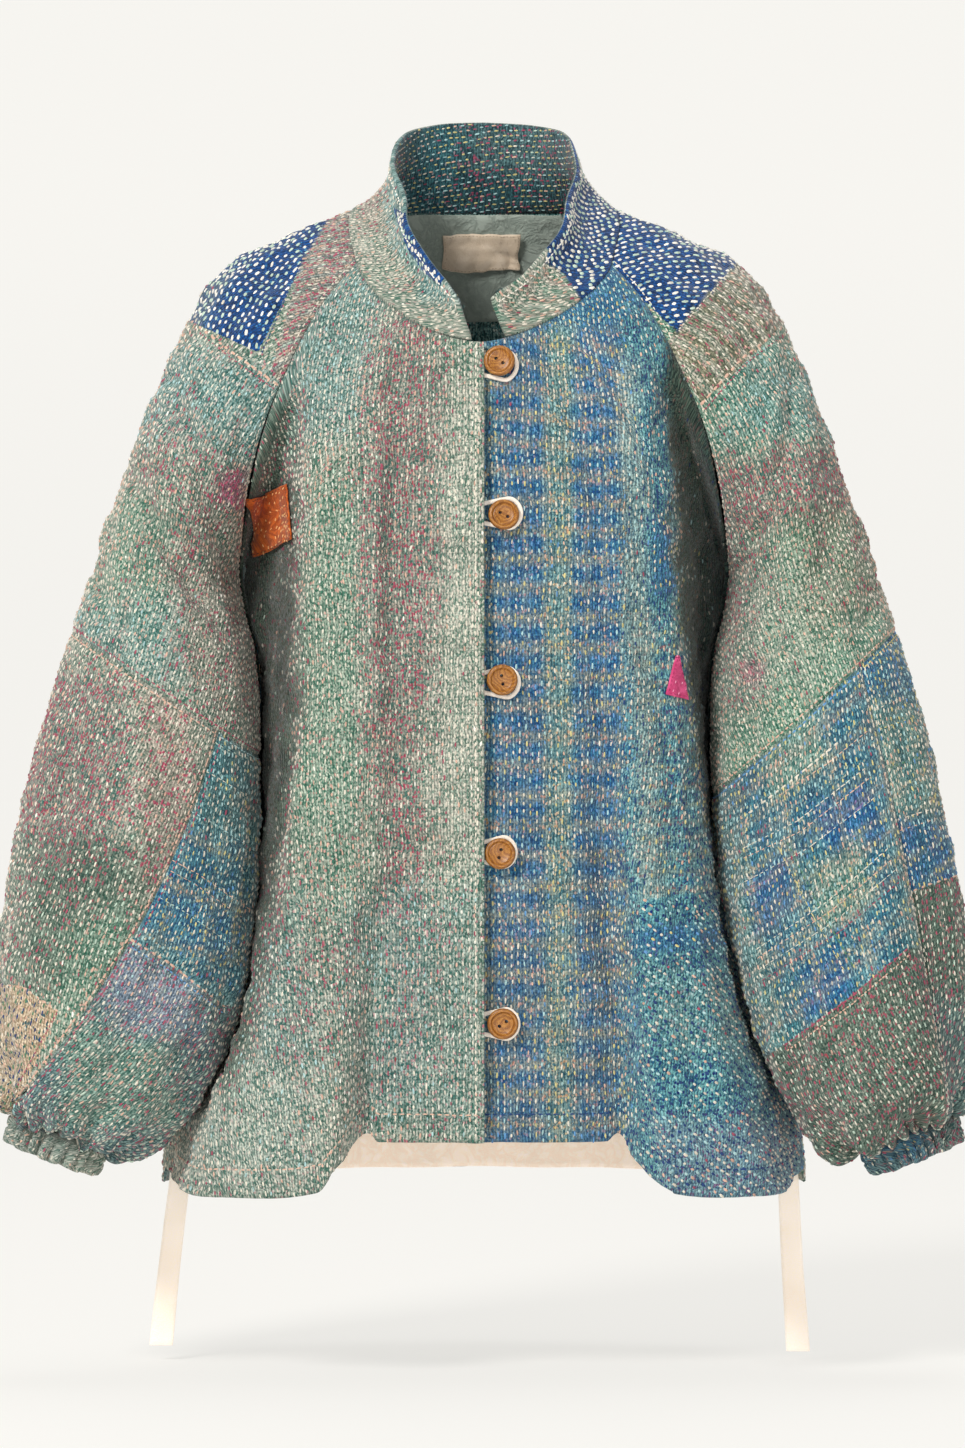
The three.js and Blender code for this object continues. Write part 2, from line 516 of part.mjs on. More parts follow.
// Cuff: a ribbed tube on the wrist ring, drawn in by its elastic.
function cuff(side) {
  const across = sleevePoint(side, WRIST, 0.5).sub(sleevePoint(side, WRIST, 0)).normalize();
  const down = across.clone().cross(v3(0, 1, 0)).normalize();
  if (down.z > 0) down.negate();
  const ring = even(CUFF_RIBS * 3).slice(0, -1);
  const wrist = ring.map((v) => sleevePoint(side, WRIST, v));
  const middle = wrist.reduce((sum, p) => sum.add(p), v3(0, 0, 0)).divideScalar(wrist.length);
  const rows = [
    { drop: SEAM_GAP, grow: -0.4, rib: 0.5 },
    { drop: CUFF_DROP * 0.5, grow: 0.6, rib: 1.7 },
    { drop: CUFF_DROP, grow: -0.8, rib: 1.3 },
  ];
  const normals = rows.map(() => wrist.map((p) => p.clone().sub(middle).normalize()));
  const grid = rows.map((r, i) => wrist.map((p, j) => {
    const rib = r.rib * Math.cos(2 * Math.PI * CUFF_RIBS * ring[j]);
    return p.clone().addScaledVector(down, r.drop).addScaledVector(normals[i][j], r.grow + rib);
  }));
  return wallGeometry({ grid, normals }, CLOTH, { closed: true });
}
for (const side of [RIGHT, LEFT]) group.add(cloth("cuff_" + SIDE_NAMES[side], "#6f8f90", cuff(side)));

// The neck seam, from the right front edge (0) round the back (0.5) to the left front edge (1).
const FRONT_SHARE = 0.26;
const SLEEVE_SHARE = 0.4;
function neckPoint(q) {
  const side = q < 0.5 ? RIGHT : LEFT;
  const t = q < 0.5 ? q : 1 - q;
  if (t < FRONT_SHARE) return bodyPoint(side, true, t / FRONT_SHARE, 2);
  if (t < SLEEVE_SHARE) return sleevePoint(side, 0, (t - FRONT_SHARE) / (SLEEVE_SHARE - FRONT_SHARE));
  return bodyPoint(side, false, 1 - (t - SLEEVE_SHARE) / (0.5 - SLEEVE_SHARE), 2);
}
// Top edge of the collar, from a front edge (0) to the middle of the back (0.5).
const collarTops = {
  [RIGHT]: [
    { at: 0.02, x: 21, y: -108, z: -45 },
    { at: 0.09, x: 36, y: -93, z: -23 },
    { at: 0.17, x: 50, y: -73, z: 0 },
    { at: 0.26, x: 57, y: -46, z: 27 },
    { at: 0.33, x: 62, y: -12, z: 51 },
    { at: 0.4, x: 57, y: 28, z: 73 },
    { at: 0.45, x: 34, y: 56, z: 82 },
    { at: 0.5, x: 0, y: 64, z: 84 },
  ],
  [LEFT]: [
    { at: 0.05, x: 6, y: -104, z: -46 },
    { at: 0.1, x: 29, y: -95, z: -29 },
    { at: 0.17, x: 49, y: -76, z: -6 },
    { at: 0.26, x: 58, y: -46, z: 24 },
    { at: 0.33, x: 65, y: -12, z: 49 },
    { at: 0.4, x: 58, y: 28, z: 73 },
    { at: 0.45, x: 34, y: 56, z: 82 },
    { at: 0.5, x: 0, y: 64, z: 84 },
  ],
};
const COLLAR_WAIST = 6; // how far the collar's middle is drawn in between its seam and its edge
function collarPoint(h, q) {
  const side = q < 0.5 ? RIGHT : LEFT;
  const t = Math.min(q, 1 - q);
  const top = tableAt(collarTops[side], "at", t);
  const base = neckPoint(q);
  base.z += 1.1;
  const p = base.lerp(v3(side * top.x, top.y, top.z), h);
  const waist = COLLAR_WAIST * 4 * h * (1 - h) * smooth(0.02, 0.2, t);
  const inwards = v3(-p.x, -p.y, 0).normalize();
  return p.addScaledVector(inwards, waist);
}
const COLLAR_START = 0.02; // the front edges stand out a little past the collar's ends
const COLLAR_END = 0.95;
const collarInside = (p) => v3(p.x * 0.3, p.y * 0.3, p.z + 8);
const collar = panel(collarPoint, even(34, COLLAR_START, COLLAR_END), even(4), collarInside);
group.add(cloth("collar", "#a9bfb0", wallGeometry(collar, COLLAR_CLOTH)));

// Finds the place on a panel that shows at (x, z) from the front, and its outward normal.
function placeOn(point, x, z, u = 0.5, w = 0.5, inwards = false) {
  const step = 1e-3;
  for (let i = 0; i < 30; i++) {
    const p = point(u, w);
    const pu = point(u + step, w).sub(p).divideScalar(step);
    const pw = point(u, w + step).sub(p).divideScalar(step);
    const det = pu.x * pw.z - pu.z * pw.x;
    const [ex, ez] = [x - p.x, z - p.z];
    u = THREE.MathUtils.clamp(u + (0.8 * (ex * pw.z - ez * pw.x)) / det, 0.001, 0.998);
    w = THREE.MathUtils.clamp(w + (0.8 * (pu.x * ez - pu.z * ex)) / det, 0.001, 1.998);
  }
  const p = point(u, w);
  const n = point(u + step, w).sub(p).cross(point(u, w + step).sub(p)).normalize();
  if (n.y > 0 !== inwards) n.negate();
  return { p, n };
}

// A patch sewn on a panel: a grid between four corners (x, z), made from the panel's own points.
function patchOn(point, corners, steps, lift, thickness, start, inwards = false) {
  const shares = even(steps);
  const places = shares.map((b) => shares.map((a) => {
    const [c0, c1, c2, c3] = corners;
    const x = lerp(lerp(c0[0], c1[0], a), lerp(c3[0], c2[0], a), b);
    const z = lerp(lerp(c0[1], c1[1], a), lerp(c3[1], c2[1], a), b);
    return placeOn(point, x, z, start[0], start[1], inwards);
  }));
  const grid = places.map((row) => row.map((q) => q.p));
  const normals = places.map((row) => row.map((q) => q.n));
  return wallGeometry({ grid, normals }, thickness, { lift });
}
const rightFrontPoint = (u, w) => bodyPoint(RIGHT, true, u, w);
const leftFrontPoint = (u, w) => bodyPoint(LEFT, true, u, w);
const PATCH_LIFT = THIN_CLOTH + 0.9; // clear of the panel's facets
const orangeCorners = [[-152, -181], [-128, -168], [-126, -205], [-149, -214]];
const pinkCorners = [[128, -281], [131, -281], [138, -312], [121, -308]];
group.add(cloth("patch_orange", "#c96a1e", patchOn(rightFrontPoint, orangeCorners, 4, PATCH_LIFT, THIN_CLOTH, [0.7, 1.2])));
group.add(cloth("patch_pink", "#e0437c", patchOn(leftFrontPoint, pinkCorners, 4, PATCH_LIFT, THIN_CLOTH, [0.6, 0.8])));

// Inside the back: the neck facing, the bare label on it, and the hem's casing. They are made from
// the back's own points, so that they lie along it.
function liningOf({ grid, normals }, rows, columns) {
  const pick = (list) => rows.map((i) => columns.map((j) => list[i][j]));
  return { grid: pick(grid), normals: pick(normals) };
}
const range = (from, to) => Array.from({ length: to - from + 1 }, (_, i) => from + i);
const TOP_ROW = LOWER_ROWS + UPPER_ROWS;
const FACING_LIFT = -CLOTH - 0.4;
const facing = liningOf(back, range(TOP_ROW - 2, TOP_ROW), range(3, BACK_COLUMNS - 3));
group.add(cloth("neck_facing", "#8f9c90", wallGeometry(facing, THIN_CLOTH, { lift: FACING_LIFT })));
const LABEL_LIFT = FACING_LIFT - THIN_CLOTH - 0.8;
const labelCorners = [[-29, 12], [26, 12], [26, -12], [-29, -12]];
const label = patchOn(backPoint, labelCorners, 4, LABEL_LIFT, 0.8, [0.5, 1.9], true);
group.add(cloth("label", "#cdb79c", label, 0.6));
const casing = liningOf(back, [0, 1], range(1, BACK_COLUMNS - 1));
group.add(cloth("hem_casing", "#d9c8b4", wallGeometry(casing, THIN_CLOTH, { lift: -CLOTH - 0.4 })));

// A flat tape tie at each side, out past the end of the casing and straight down.
const tieRows = {
  [RIGHT]: [
    { x: 206, drop: -24, wide: 13 },
    { x: 207.5, drop: 2, wide: 13.5 },
    { x: 214, drop: 55, wide: TIE_WIDTH },
    { x: 220, drop: TIE_DROP, wide: 15.5 },
  ],
  [LEFT]: [
    { x: 206, drop: -24, wide: 13 },
    { x: 207.5, drop: 2, wide: 13.5 },
    { x: 210, drop: 57, wide: TIE_WIDTH },
    { x: 214, drop: TIE_DROP + 4, wide: 15.5 },
  ],
};
const TIE_Y = 8;
function tie(side) {
  const grid = tieRows[side].map((r) => [-0.5, 0.5].map((k) => v3(side * (r.x + k * r.wide), TIE_Y, HEM_Z - r.drop)));
  const normals = grid.map((row) => row.map(() => v3(0, -1, 0)));
  return wallGeometry({ grid, normals }, THIN_CLOTH);
}
for (const side of [RIGHT, LEFT]) group.add(cloth("tie_" + SIDE_NAMES[side], "#efe0cc", tie(side)));

// Buttons on the left front, each with the loop that comes from under the right front's edge.
const buttons = [
  { x: 10.4, z: -89, loopX: 0.8, loopZ: -2.2, tiltX: 5, tiltZ: -6 },
  { x: 12.4, z: -192, loopX: 1.6, loopZ: 2.2, tiltX: -4, tiltZ: 4 },
  { x: 11.2, z: -300, loopX: 1.2, loopZ: -1.8, tiltX: 4, tiltZ: 3 },
  { x: 10.6, z: -415, loopX: -0.4, loopZ: 1.6, tiltX: -3, tiltZ: -4 },
  { x: 12.6, z: -526, loopX: -0.6, loopZ: -0.6, tiltX: 3, tiltZ: -5 },
];
const HOLE_APART = 2.7;
const HOLE_R = 0.95;
const SHANK_R = 1.6;
const SHANK = 2 * LOOP_R + 1.7; // from the cloth to the back of the button

function solid(geometry) {
  const bare = geometry.clone();
  bare.deleteAttribute("normal");
  bare.deleteAttribute("uv");
  const merged = mergeVertices(bare, 1e-4);
  return new wasm.Manifold(new wasm.Mesh({
    numProp: 3,
    vertProperties: merged.attributes.position.array,
    triVerts: new Uint32Array(merged.index.array),
  }));
}
function fromSolid(made) {
  const mesh = made.getMesh();
  const geometry = new THREE.BufferGeometry();
  geometry.setAttribute("position", new THREE.BufferAttribute(new Float32Array(mesh.vertProperties), 3));
  geometry.setIndex(new THREE.BufferAttribute(new Uint32Array(mesh.triVerts), 1));
  return geometry;
}

// A turned button with a raised rim and two holes, on its wound thread shank. It faces +Y of its own frame.
function buttonGeometry() {
  const profile = [
    [0, 0], [BUTTON_R - 2.2, 0], [BUTTON_R, 1.9], [BUTTON_R, 3.4], [BUTTON_R - 1.4, BUTTON_THICK],
    [BUTTON_R - 3, BUTTON_THICK - 0.2], [BUTTON_R - 4.2, BUTTON_THICK - 1.3], [0, BUTTON_THICK - 1.3],
  ].map(([r, y]) => new THREE.Vector2(r, y));
  let made = solid(new THREE.LatheGeometry(profile, 20));
  for (const x of [-HOLE_APART, HOLE_APART]) {
    const hole = new THREE.CylinderGeometry(HOLE_R, HOLE_R, 3 * BUTTON_THICK, 8).translate(x, 0, 0);
    made = made.subtract(solid(hole));
  }
  const shank = new THREE.CylinderGeometry(SHANK_R, SHANK_R, SHANK + 0.4, 8).translate(0, 0.4 - SHANK / 2 - 0.2, 0);
  return fromSolid(made.add(solid(shank)));
}

function addButton(b, i) {
  const { p, n } = placeOn(leftFrontPoint, b.x, b.z, 0.05, 0.8);
  const face = n.clone();
  const mesh = cloth("button_" + (i + 1), "#b9793a", buttonGeometry(), 0.5);
  const tilt = new THREE.Quaternion().setFromEuler(new THREE.Euler(
    THREE.MathUtils.degToRad(b.tiltX), 0, THREE.MathUtils.degToRad(b.tiltZ)));
  mesh.quaternion.copy(tilt).multiply(new THREE.Quaternion().setFromUnitVectors(v3(0, 1, 0), face));
  const out = v3(0, 1, 0).applyQuaternion(mesh.quaternion);
  mesh.position.copy(p).addScaledVector(n, 0.9).addScaledVector(out, SHANK);
  group.add(mesh);

  const centre = v3(p.x + b.loopX, 0, b.z + b.loopZ);
  const round = BUTTON_R + 0.4;
  const turns = even(10, Math.PI / 2, -Math.PI / 2).map((a) => [centre.x + round * Math.cos(a), centre.z + round * Math.sin(a)]);
  const path = [[-7, centre.z + 4], [0, centre.z + 6.6], ...turns.slice(1, -1), [0, centre.z - 6.6], [-7, centre.z - 4]];
  const stops = path.map(([x, z]) => placeOn(leftFrontPoint, x, z, 0.05, 0.8));
  const curve = new THREE.CatmullRomCurve3(stops.map((q) => q.p.addScaledVector(q.n, LOOP_R + 0.6)), false, "centripetal");
  const section = new THREE.Shape().absarc(0, 0, LOOP_R, 0, 2 * Math.PI);
  const tube = new THREE.ExtrudeGeometry(section, { curveSegments: 4, steps: 14, bevelEnabled: false, extrudePath: curve });
  group.add(cloth("loop_" + (i + 1), "#efe3d0", tube));
}
buttons.forEach(addButton);

export default group;
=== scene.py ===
import math

import bpy
import numpy as np
from mathutils import Euler, Matrix, Vector, kdtree


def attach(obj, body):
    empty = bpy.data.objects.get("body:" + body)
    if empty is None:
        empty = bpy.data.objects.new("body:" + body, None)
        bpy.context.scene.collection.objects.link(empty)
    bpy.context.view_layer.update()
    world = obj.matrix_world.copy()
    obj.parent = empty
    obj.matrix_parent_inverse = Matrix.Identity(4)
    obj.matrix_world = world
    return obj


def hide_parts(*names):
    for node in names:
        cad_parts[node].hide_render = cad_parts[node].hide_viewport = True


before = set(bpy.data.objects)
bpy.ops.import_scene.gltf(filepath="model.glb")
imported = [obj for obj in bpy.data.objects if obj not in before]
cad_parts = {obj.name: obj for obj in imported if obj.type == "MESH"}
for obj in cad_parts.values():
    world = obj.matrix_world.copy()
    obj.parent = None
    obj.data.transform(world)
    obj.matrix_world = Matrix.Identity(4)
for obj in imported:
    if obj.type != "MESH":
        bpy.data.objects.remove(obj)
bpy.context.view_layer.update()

# The jacket is worked out in millimetres, as in the part: +X is the wearer's left, -Y is the front.
mm = 0.001
right, left = -1, 1
sideName = {right: "right", left: "left"}
rng = np.random.default_rng(41)


def hexToLinear(code):
    channels = [int(code[i:i + 2], 16) / 255 for i in (1, 3, 5)]
    return [c / 12.92 if c <= 0.04045 else ((c + 0.055) / 1.055) ** 2.4 for c in channels]


def paintColour(code):
    return (*hexToLinear(code), 1.0)


def addNode(tree, kind, inputs=None, **settings):
    node = tree.nodes.new(kind)
    for name, value in settings.items():
        setattr(node, name, value)
    for name, value in (inputs or {}).items():
        socket = node.inputs[name]
        if isinstance(value, bpy.types.NodeSocket):
            tree.links.new(value, socket)
        else:
            socket.default_value = value
    return node


# Camera: straight on, level with the middle of the jacket, as the picture was taken
picture = dict(width=965, height=1448, mmPerPixel=0.68, middleX=484, neckY=240, distance=4500, level=-329)
camera = bpy.data.objects.new("camera", bpy.data.cameras.new("camera"))
bpy.context.collection.objects.link(camera)
camera.location = (-0.001, -picture["distance"] * mm, picture["level"] * mm)
camera.rotation_euler = (math.pi / 2, 0, 0)
camera.data.lens = 164.5
camera.data.clip_end = 40
bpy.context.scene.camera = camera


def seenAt(p):
    # where a point shows in the picture, in pixels of its 965 x 1448 frame
    nearer = picture["distance"] / (picture["distance"] + p[..., 1])
    x = picture["middleX"] + p[..., 0] * nearer / picture["mmPerPixel"]
    height = (p[..., 2] - picture["level"]) * nearer + picture["level"]
    return x, picture["neckY"] - height / picture["mmPerPixel"]


def smooth(low, high, x):
    t = np.clip((x - low) / (high - low), 0, 1)
    return t * t * (3 - 2 * t)


def lerp(a, b, t):
    return a + (b - a) * t


def unit(v):
    return v / np.maximum(np.linalg.norm(v, axis=-1, keepdims=True), 1e-9)


def points(x, y, z):
    return np.stack(np.broadcast_arrays(x, y, z), -1).astype(float)


def makeMesh(name, corners, faces, material, isSmooth=True):
    mesh = bpy.data.meshes.new(name)
    mesh.from_pydata((np.asarray(corners) * mm).tolist(), [], [list(f) for f in faces])
    mesh.update()
    if isSmooth:
        mesh.shade_smooth()
    mesh.materials.append(material)
    obj = bpy.data.objects.new(name, mesh)
    bpy.context.collection.objects.link(obj)
    return obj


def setAttribute(obj, name, kind, values):
    attribute = obj.data.attributes.new(name, kind, "POINT")
    field = {"FLOAT": "value", "FLOAT_VECTOR": "vector", "FLOAT_COLOR": "color"}[kind]
    attribute.data.foreach_set(field, np.ascontiguousarray(values, np.float32).ravel())


def dress(obj, slot, *nodes):
    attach(obj, "root")
    if nodes:
        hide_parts(*nodes)
    return obj


# Cotton tape: a narrow plain weave, folded and pressed. Chalky cream, matt, with a fine rib across it.
def cottonTape(name, colour, shade):
    material = bpy.data.materials.new(name)
    material.use_nodes = True
    tree = material.node_tree
    shader = tree.nodes["Principled BSDF"]
    place = addNode(tree, "ShaderNodeTexCoord").outputs["Object"]
    weave = addNode(tree, "ShaderNodeMapping", {"Vector": place, "Scale": (900, 900, 1400)})
    # threads are 0.3 mm apart in real tape, drawn here 1 mm apart so that they show
    grain = addNode(tree, "ShaderNodeTexNoise", {"Vector": weave.outputs[0], "Scale": 1.0, "Detail": 3.0})
    cloud = addNode(tree, "ShaderNodeTexNoise", {"Vector": place, "Scale": 28.0, "Detail": 2.0})
    both = addNode(tree, "ShaderNodeMath", {0: grain.outputs[0], 1: cloud.outputs[0]}, operation="ADD")
    spread = addNode(tree, "ShaderNodeMapRange", {0: both.outputs[0], 1: 0.75, 2: 1.25})
    mixed = addNode(tree, "ShaderNodeMix",
                    {0: spread.outputs[0], 6: paintColour(shade), 7: paintColour(colour)}, data_type="RGBA")
    tree.links.new(mixed.outputs[2], shader.inputs["Base Color"])
    bump = addNode(tree, "ShaderNodeBump", {"Height": grain.outputs[0], "Strength": 0.35, "Distance": 0.0006})
    tree.links.new(bump.outputs[0], shader.inputs["Normal"])
    shader.inputs["Roughness"].default_value = 0.9
    shader.inputs["Sheen Weight"].default_value = 0.15
    # painted light: the pale tape glows faintly in its own colour, so that it stays bright where it hangs in
    # shade
    shader.inputs["Emission Color"].default_value = paintColour(colour)
    shader.inputs["Emission Strength"].default_value = 0.24
    return material


tape = cottonTape("cotton tape", "#FFF2E4", "#F4E2CE")

# Tape ties at the side seams: cotton tape that hangs straight down from the casing
tieShape = dict(y=8.0, thickness=1.2, diameter=0.0145, hem=-640.0)
tieRows = {
    right: [(206, -24, 13), (206.8, -10, 13.2), (207.5, 2, 13.5), (210.6, 26, 13.8), (214, 55, 14),
            (217.2, 84, 14.8), (220, 112, 15.5)],
    left: [(206, -24, 13), (206.8, -10, 13.2), (207.5, 2, 13.5), (208.6, 28, 13.8), (210, 57, 14),
           (212.2, 88, 14.8), (214, 116, 15.5)],
}


def tapeTie(side):
    rows = tieRows[side]
    steps = 40
    at = np.linspace(0, len(rows) - 1, steps + 1)
    x, drop, wide = (np.interp(at, range(len(rows)), [r[i] for r in rows]) for i in range(3))
    across = np.linspace(-0.5, 0.5, 7)
    curl = (0.35 * np.sin(at * 2.1 + side)[:, None] * (across[None] * 2)
            + 0.25 * np.cos(across * math.pi)[None])
    front = points(side * (x[:, None] + across * wide[:, None]), tieShape["y"] + 0.1 - curl,
                   (tieShape["hem"] - drop)[:, None])
    corners, faces, _ = shellOf(front, points(0, -1, 0) + 0 * front, 1.1 + 0 * front[..., 0])
    obj = makeMesh("tie_tape_" + sideName[side], corners, faces, tape)
    dress(obj, "cream_cotton", "tie_" + sideName[side])
    path = points(side * x, tieShape["y"] + 0.6, tieShape["hem"] - drop)
    return obj


# A wall of cloth from a grid of outer points, their normals and a thickness at each point. Gives the
# corners, the faces, and for each corner the grid point that it belongs to.
def shellOf(grid, normals, thickness, closed=False):
    rows, columns = grid.shape[:2]
    inner = grid - normals * thickness[..., None]
    index = np.arange(rows * columns).reshape(rows, columns)
    turn = np.roll(index, -1, 1) if closed else None
    a = index if closed else index[:, :-1]
    b = turn if closed else index[:, 1:]
    outerFaces = np.stack([a[:-1], b[:-1], b[1:], a[1:]], -1).reshape(-1, 4)
    count = rows * columns
    innerFaces = outerFaces[:, ::-1] + count
    if closed:
        loops = [index[0][::-1], index[-1]]
    else:
        loops = [np.concatenate([index[0, ::-1], index[1:, 0], index[-1, 1:], index[-2:0:-1, -1]])]
    corners = [grid.reshape(-1, 3), inner.reshape(-1, 3)]
    source = [np.arange(count), np.arange(count)]
    faces = [outerFaces, innerFaces]
    start = 2 * count
    for loop in loops:
        i, j = loop // columns, loop % columns
        nextI = np.clip(i, 1, rows - 2)
        nextJ = j if closed else np.clip(j, 1, columns - 2)
        edge = grid.reshape(-1, 3)[loop]
        outwards = unit(edge - grid[nextI, nextJ])
        thick = thickness.ravel()[loop][:, None]
        corners.append(edge - normals.reshape(-1, 3)[loop] * thick / 2 + outwards * thick * 0.32)
        source.append(loop)
        middle = start + np.arange(len(loop))
        start += len(loop)
        p, q = loop, np.roll(loop, -1)
        pm, qm = middle, np.roll(middle, -1)
        faces.append(np.stack([p, q, qm, pm], -1))
        faces.append(np.stack([pm, qm, q + count, p + count], -1))
    faces = np.concatenate(faces)
    corners, source = np.concatenate(corners), np.concatenate(source)
    across, down = np.gradient(grid, axis=1), np.gradient(grid, axis=0)
    facing = np.einsum("ijk,ijk->ij", np.cross(across, down), normals).mean()
    if facing < 0:
        faces = faces[:, ::-1]
    return corners, faces, source


for side in (right, left):
    tapeTie(side)
print("camera and ties made")

# The jacket's form, from the same tables as the part
cloth = dict(troughs=1.6, thickness=2.6, edge=1.5, collar=4.6, underarm=-225.0, hem=-640.0, hemRise=37.0,
             rightEdge=-0.5, leftEdge=-8.0, overlapLift=7.2, overlapFade=46.0, fullness=1.84, edgeWidth=13.0)


def table(names, *rows):
    names = names.split()
    return {name: np.array([row[i] for row in rows], float) for i, name in enumerate(names)}


# front above the underarm: middle (cy, cz, pull), raglan seam (x, y, z), and the way the cloth runs there
frontRows = table(
    "at cy cz pull x y z tx ty tz",
    (0.0, -101, -75, 118, 86, -45, -17, 12, 92, 66), (0.2, -107, -105, 165, 111, -68, -50, 82, 62, 30),
    (0.4, -113, -135, 210, 132, -82, -92, 105, 58, 14), (0.6, -118, -165, 250, 148, -78, -133, 92, 92, 6),
    (0.8, -122, -195, 278, 159, -54, -178, 60, 142, 2), (1.0, -126, -225, 325, 166, -10, -225, 24, 240, 0))
backRows = table(
    "at cy cz pull x y z tx ty tz",
    (0.0, 72, 24, 92, 66, 55, 24, 46, -34, 0), (0.2, 94, -26, 140, 97, 80, -20, 74, -34, 6),
    (0.4, 108, -78, 185, 122, 92, -64, 96, -44, 4), (0.6, 114, -130, 238, 143, 82, -114, 88, -92, 2),
    (0.8, 117, -180, 280, 158, 48, -168, 52, -150, 0), (1.0, 120, -225, 330, 166, -10, -225, 24, -270, 0))
bodyRows = table(
    "z half sideY front back",
    (-225, 166, -10, -126, 120), (-300, 178, 0, -132, 125), (-400, 190, 0, -138, 133),
    (-500, 203, 0, -141, 141), (-580, 213, 0, -142, 147), (-640, 219, 0, -142, 152))
capRows = table(
    "at ax ay az ux uy uz fx fy fz bx by bz", (0.0, 90, 5, 20, -12, 62, 22, 14, 62, 50, -42, 30, 0),
    (0.2, 139, 4, 1, 0, 98, 6, 42, 44, 68, -50, 32, -40),
    (0.4, 176, 2, -20, 0, 128, 0, 74, 4, 84, -92, 0, -62),
    (0.6, 205, 0, -61, 0, 172, 0, 92, -66, 76, -106, -60, -56),
    (0.8, 227, -3, -112, 0, 238, 0, 78, -190, 40, -78, -180, -30),
    (1.0, 247, -8, -170, 0, 310, 0, 44, -300, 10, -30, -315, 0))
ringRows = table(
    "at ox oz rightX rightZ leftX leftZ y front back",
    (2, 262, -215, 155, -285, 155, -292, -28, 80, 80), (3, 277, -266, 151, -350, 154, -376, -44, 84, 80),
    (4, 300, -345, 152, -430, 160, -446, -60, 86, 80), (5, 317, -425, 158, -500, 172, -508, -72, 88, 82),
    (6, 327, -495, 174, -552, 188, -555, -80, 86, 80), (7, 329, -545, 198, -590, 209, -590, -84, 76, 72),
    (8, 324, -573, 225, -611, 228, -611, -87, 58, 56), (9, 317, -584, 241, -615, 241, -615, -89, 41, 40),
    (10, 312, -588, 253, -611, 253, -611, -90, 30, 30))
flareRows = table(
    "z rightEdge leftEdge outFrom outTo out side",
    (-75, 56, 66, 92, 116, 0, 0), (-150, 58, 70, 104, 132, 5, 4), (-225, 60, 74, 110, 140, 9, 5),
    (-300, 62, 78, 116, 146, 12, 5), (-400, 65, 82, 122, 160, 17, 2), (-500, 70, 87, 135, 185, 25, 0),
    (-580, 75, 93, 150, 205, 34, 0), (-640, 78, 98, 160, 219, 40, 0))
underarm, elbow, wrist = 1, 3, 10
lowerSeams = {
    right: dict(frontElbow=0.14, frontCuff=0.46, backElbow=0.8, backCuff=0.74),
    left: dict(frontElbow=0.35, frontCuff=0.36, backElbow=0.8, backCuff=0.74),
}
sleeveFolds = [
    dict(side=left, first=3.0, last=8.6, top=0.37, bottom=0.37, width=0.035, depth=-9),
    dict(side=left, first=2.2, last=6.5, top=0.12, bottom=0.2, width=0.04, depth=-5),
    dict(side=right, first=3.2, last=8.4, top=0.12, bottom=0.26, width=0.04, depth=-6),
    dict(side=right, first=1.5, last=5.5, top=0.34, bottom=0.38, width=0.05, depth=-4),
    dict(side=left, first=1.2, last=5.0, top=0.7, bottom=0.66, width=0.05, depth=-6),
    dict(side=right, first=1.2, last=5.0, top=0.72, bottom=0.64, width=0.05, depth=-6),
]
backFolds = [(-150, 24, 17), (-78, 26, 14), (-4, 30, 19), (74, 26, 13),
             (148, 24, 18)]  # x at the hem, width, out
sideFold = dict(x=133.0, width=9.0)
gathers = dict(count=9, depth=5.0)


def hermite(p0, d0, p1, d1, t):
    t2, t3 = t * t, t * t * t
    return p0 * (2 * t3 - 3 * t2 + 1) + d0 * (t3 - 2 * t2 + t) + p1 * (3 * t2 - 2 * t3) + d1 * (t3 - t2)


def arc(p0, d0, p1, d1, t):
    return hermite(p0, d0, p1, d1, np.asarray(t)[..., None])


# Reads a table between its rows with a smooth curve, at every value of an array at once
def readTable(rows, key, at):
    keys = rows[key]
    turn = 1 if keys[-1] > keys[0] else -1
    i = np.clip(np.searchsorted(turn * keys, turn * np.asarray(at, float)) - 1, 0, len(keys) - 2)
    span = keys[i + 1] - keys[i]
    t = np.clip((at - keys[i]) / span, 0, 1)
    found = {}
    for name, values in rows.items():
        slope = np.empty_like(values)
        slope[1:-1] = (values[2:] - values[:-2]) / (keys[2:] - keys[:-2])
        slope[0] = (values[1] - values[0]) / (keys[1] - keys[0])
        slope[-1] = (values[-1] - values[-2]) / (keys[-1] - keys[-2])
        found[name] = hermite(values[i], slope[i] * span, values[i + 1], slope[i + 1] * span, t)
    return found


def sleeveTable(side):
    caps, rings = dict(capRows), ringRows
    front, back = readTable(frontRows, "at", caps["at"]), readTable(backRows, "at", caps["at"])
    caps["wy"] = caps["uy"]
    for axis in "xyz":
        caps["p" + axis], caps["q" + axis] = front[axis], back[axis]
    innerX, innerZ = rings[sideName[side] + "X"], rings[sideName[side] + "Z"]
    zero = 0 * innerX
    down = dict(at=rings["at"], ax=rings["ox"], ay=rings["y"], az=rings["oz"], ux=zero, uy=4 * rings["front"],
                uz=zero, wy=4 * rings["back"], fx=zero, fy=-4 * rings["front"], fz=zero, bx=zero,
                by=-4 * rings["back"], bz=zero,
                px=innerX, py=rings["y"], pz=innerZ, qx=innerX, qy=rings["y"], qz=innerZ)
    return {name: np.concatenate([caps[name], down[name]]) for name in down}


sleeveTables = {side: sleeveTable(side) for side in (right, left)}


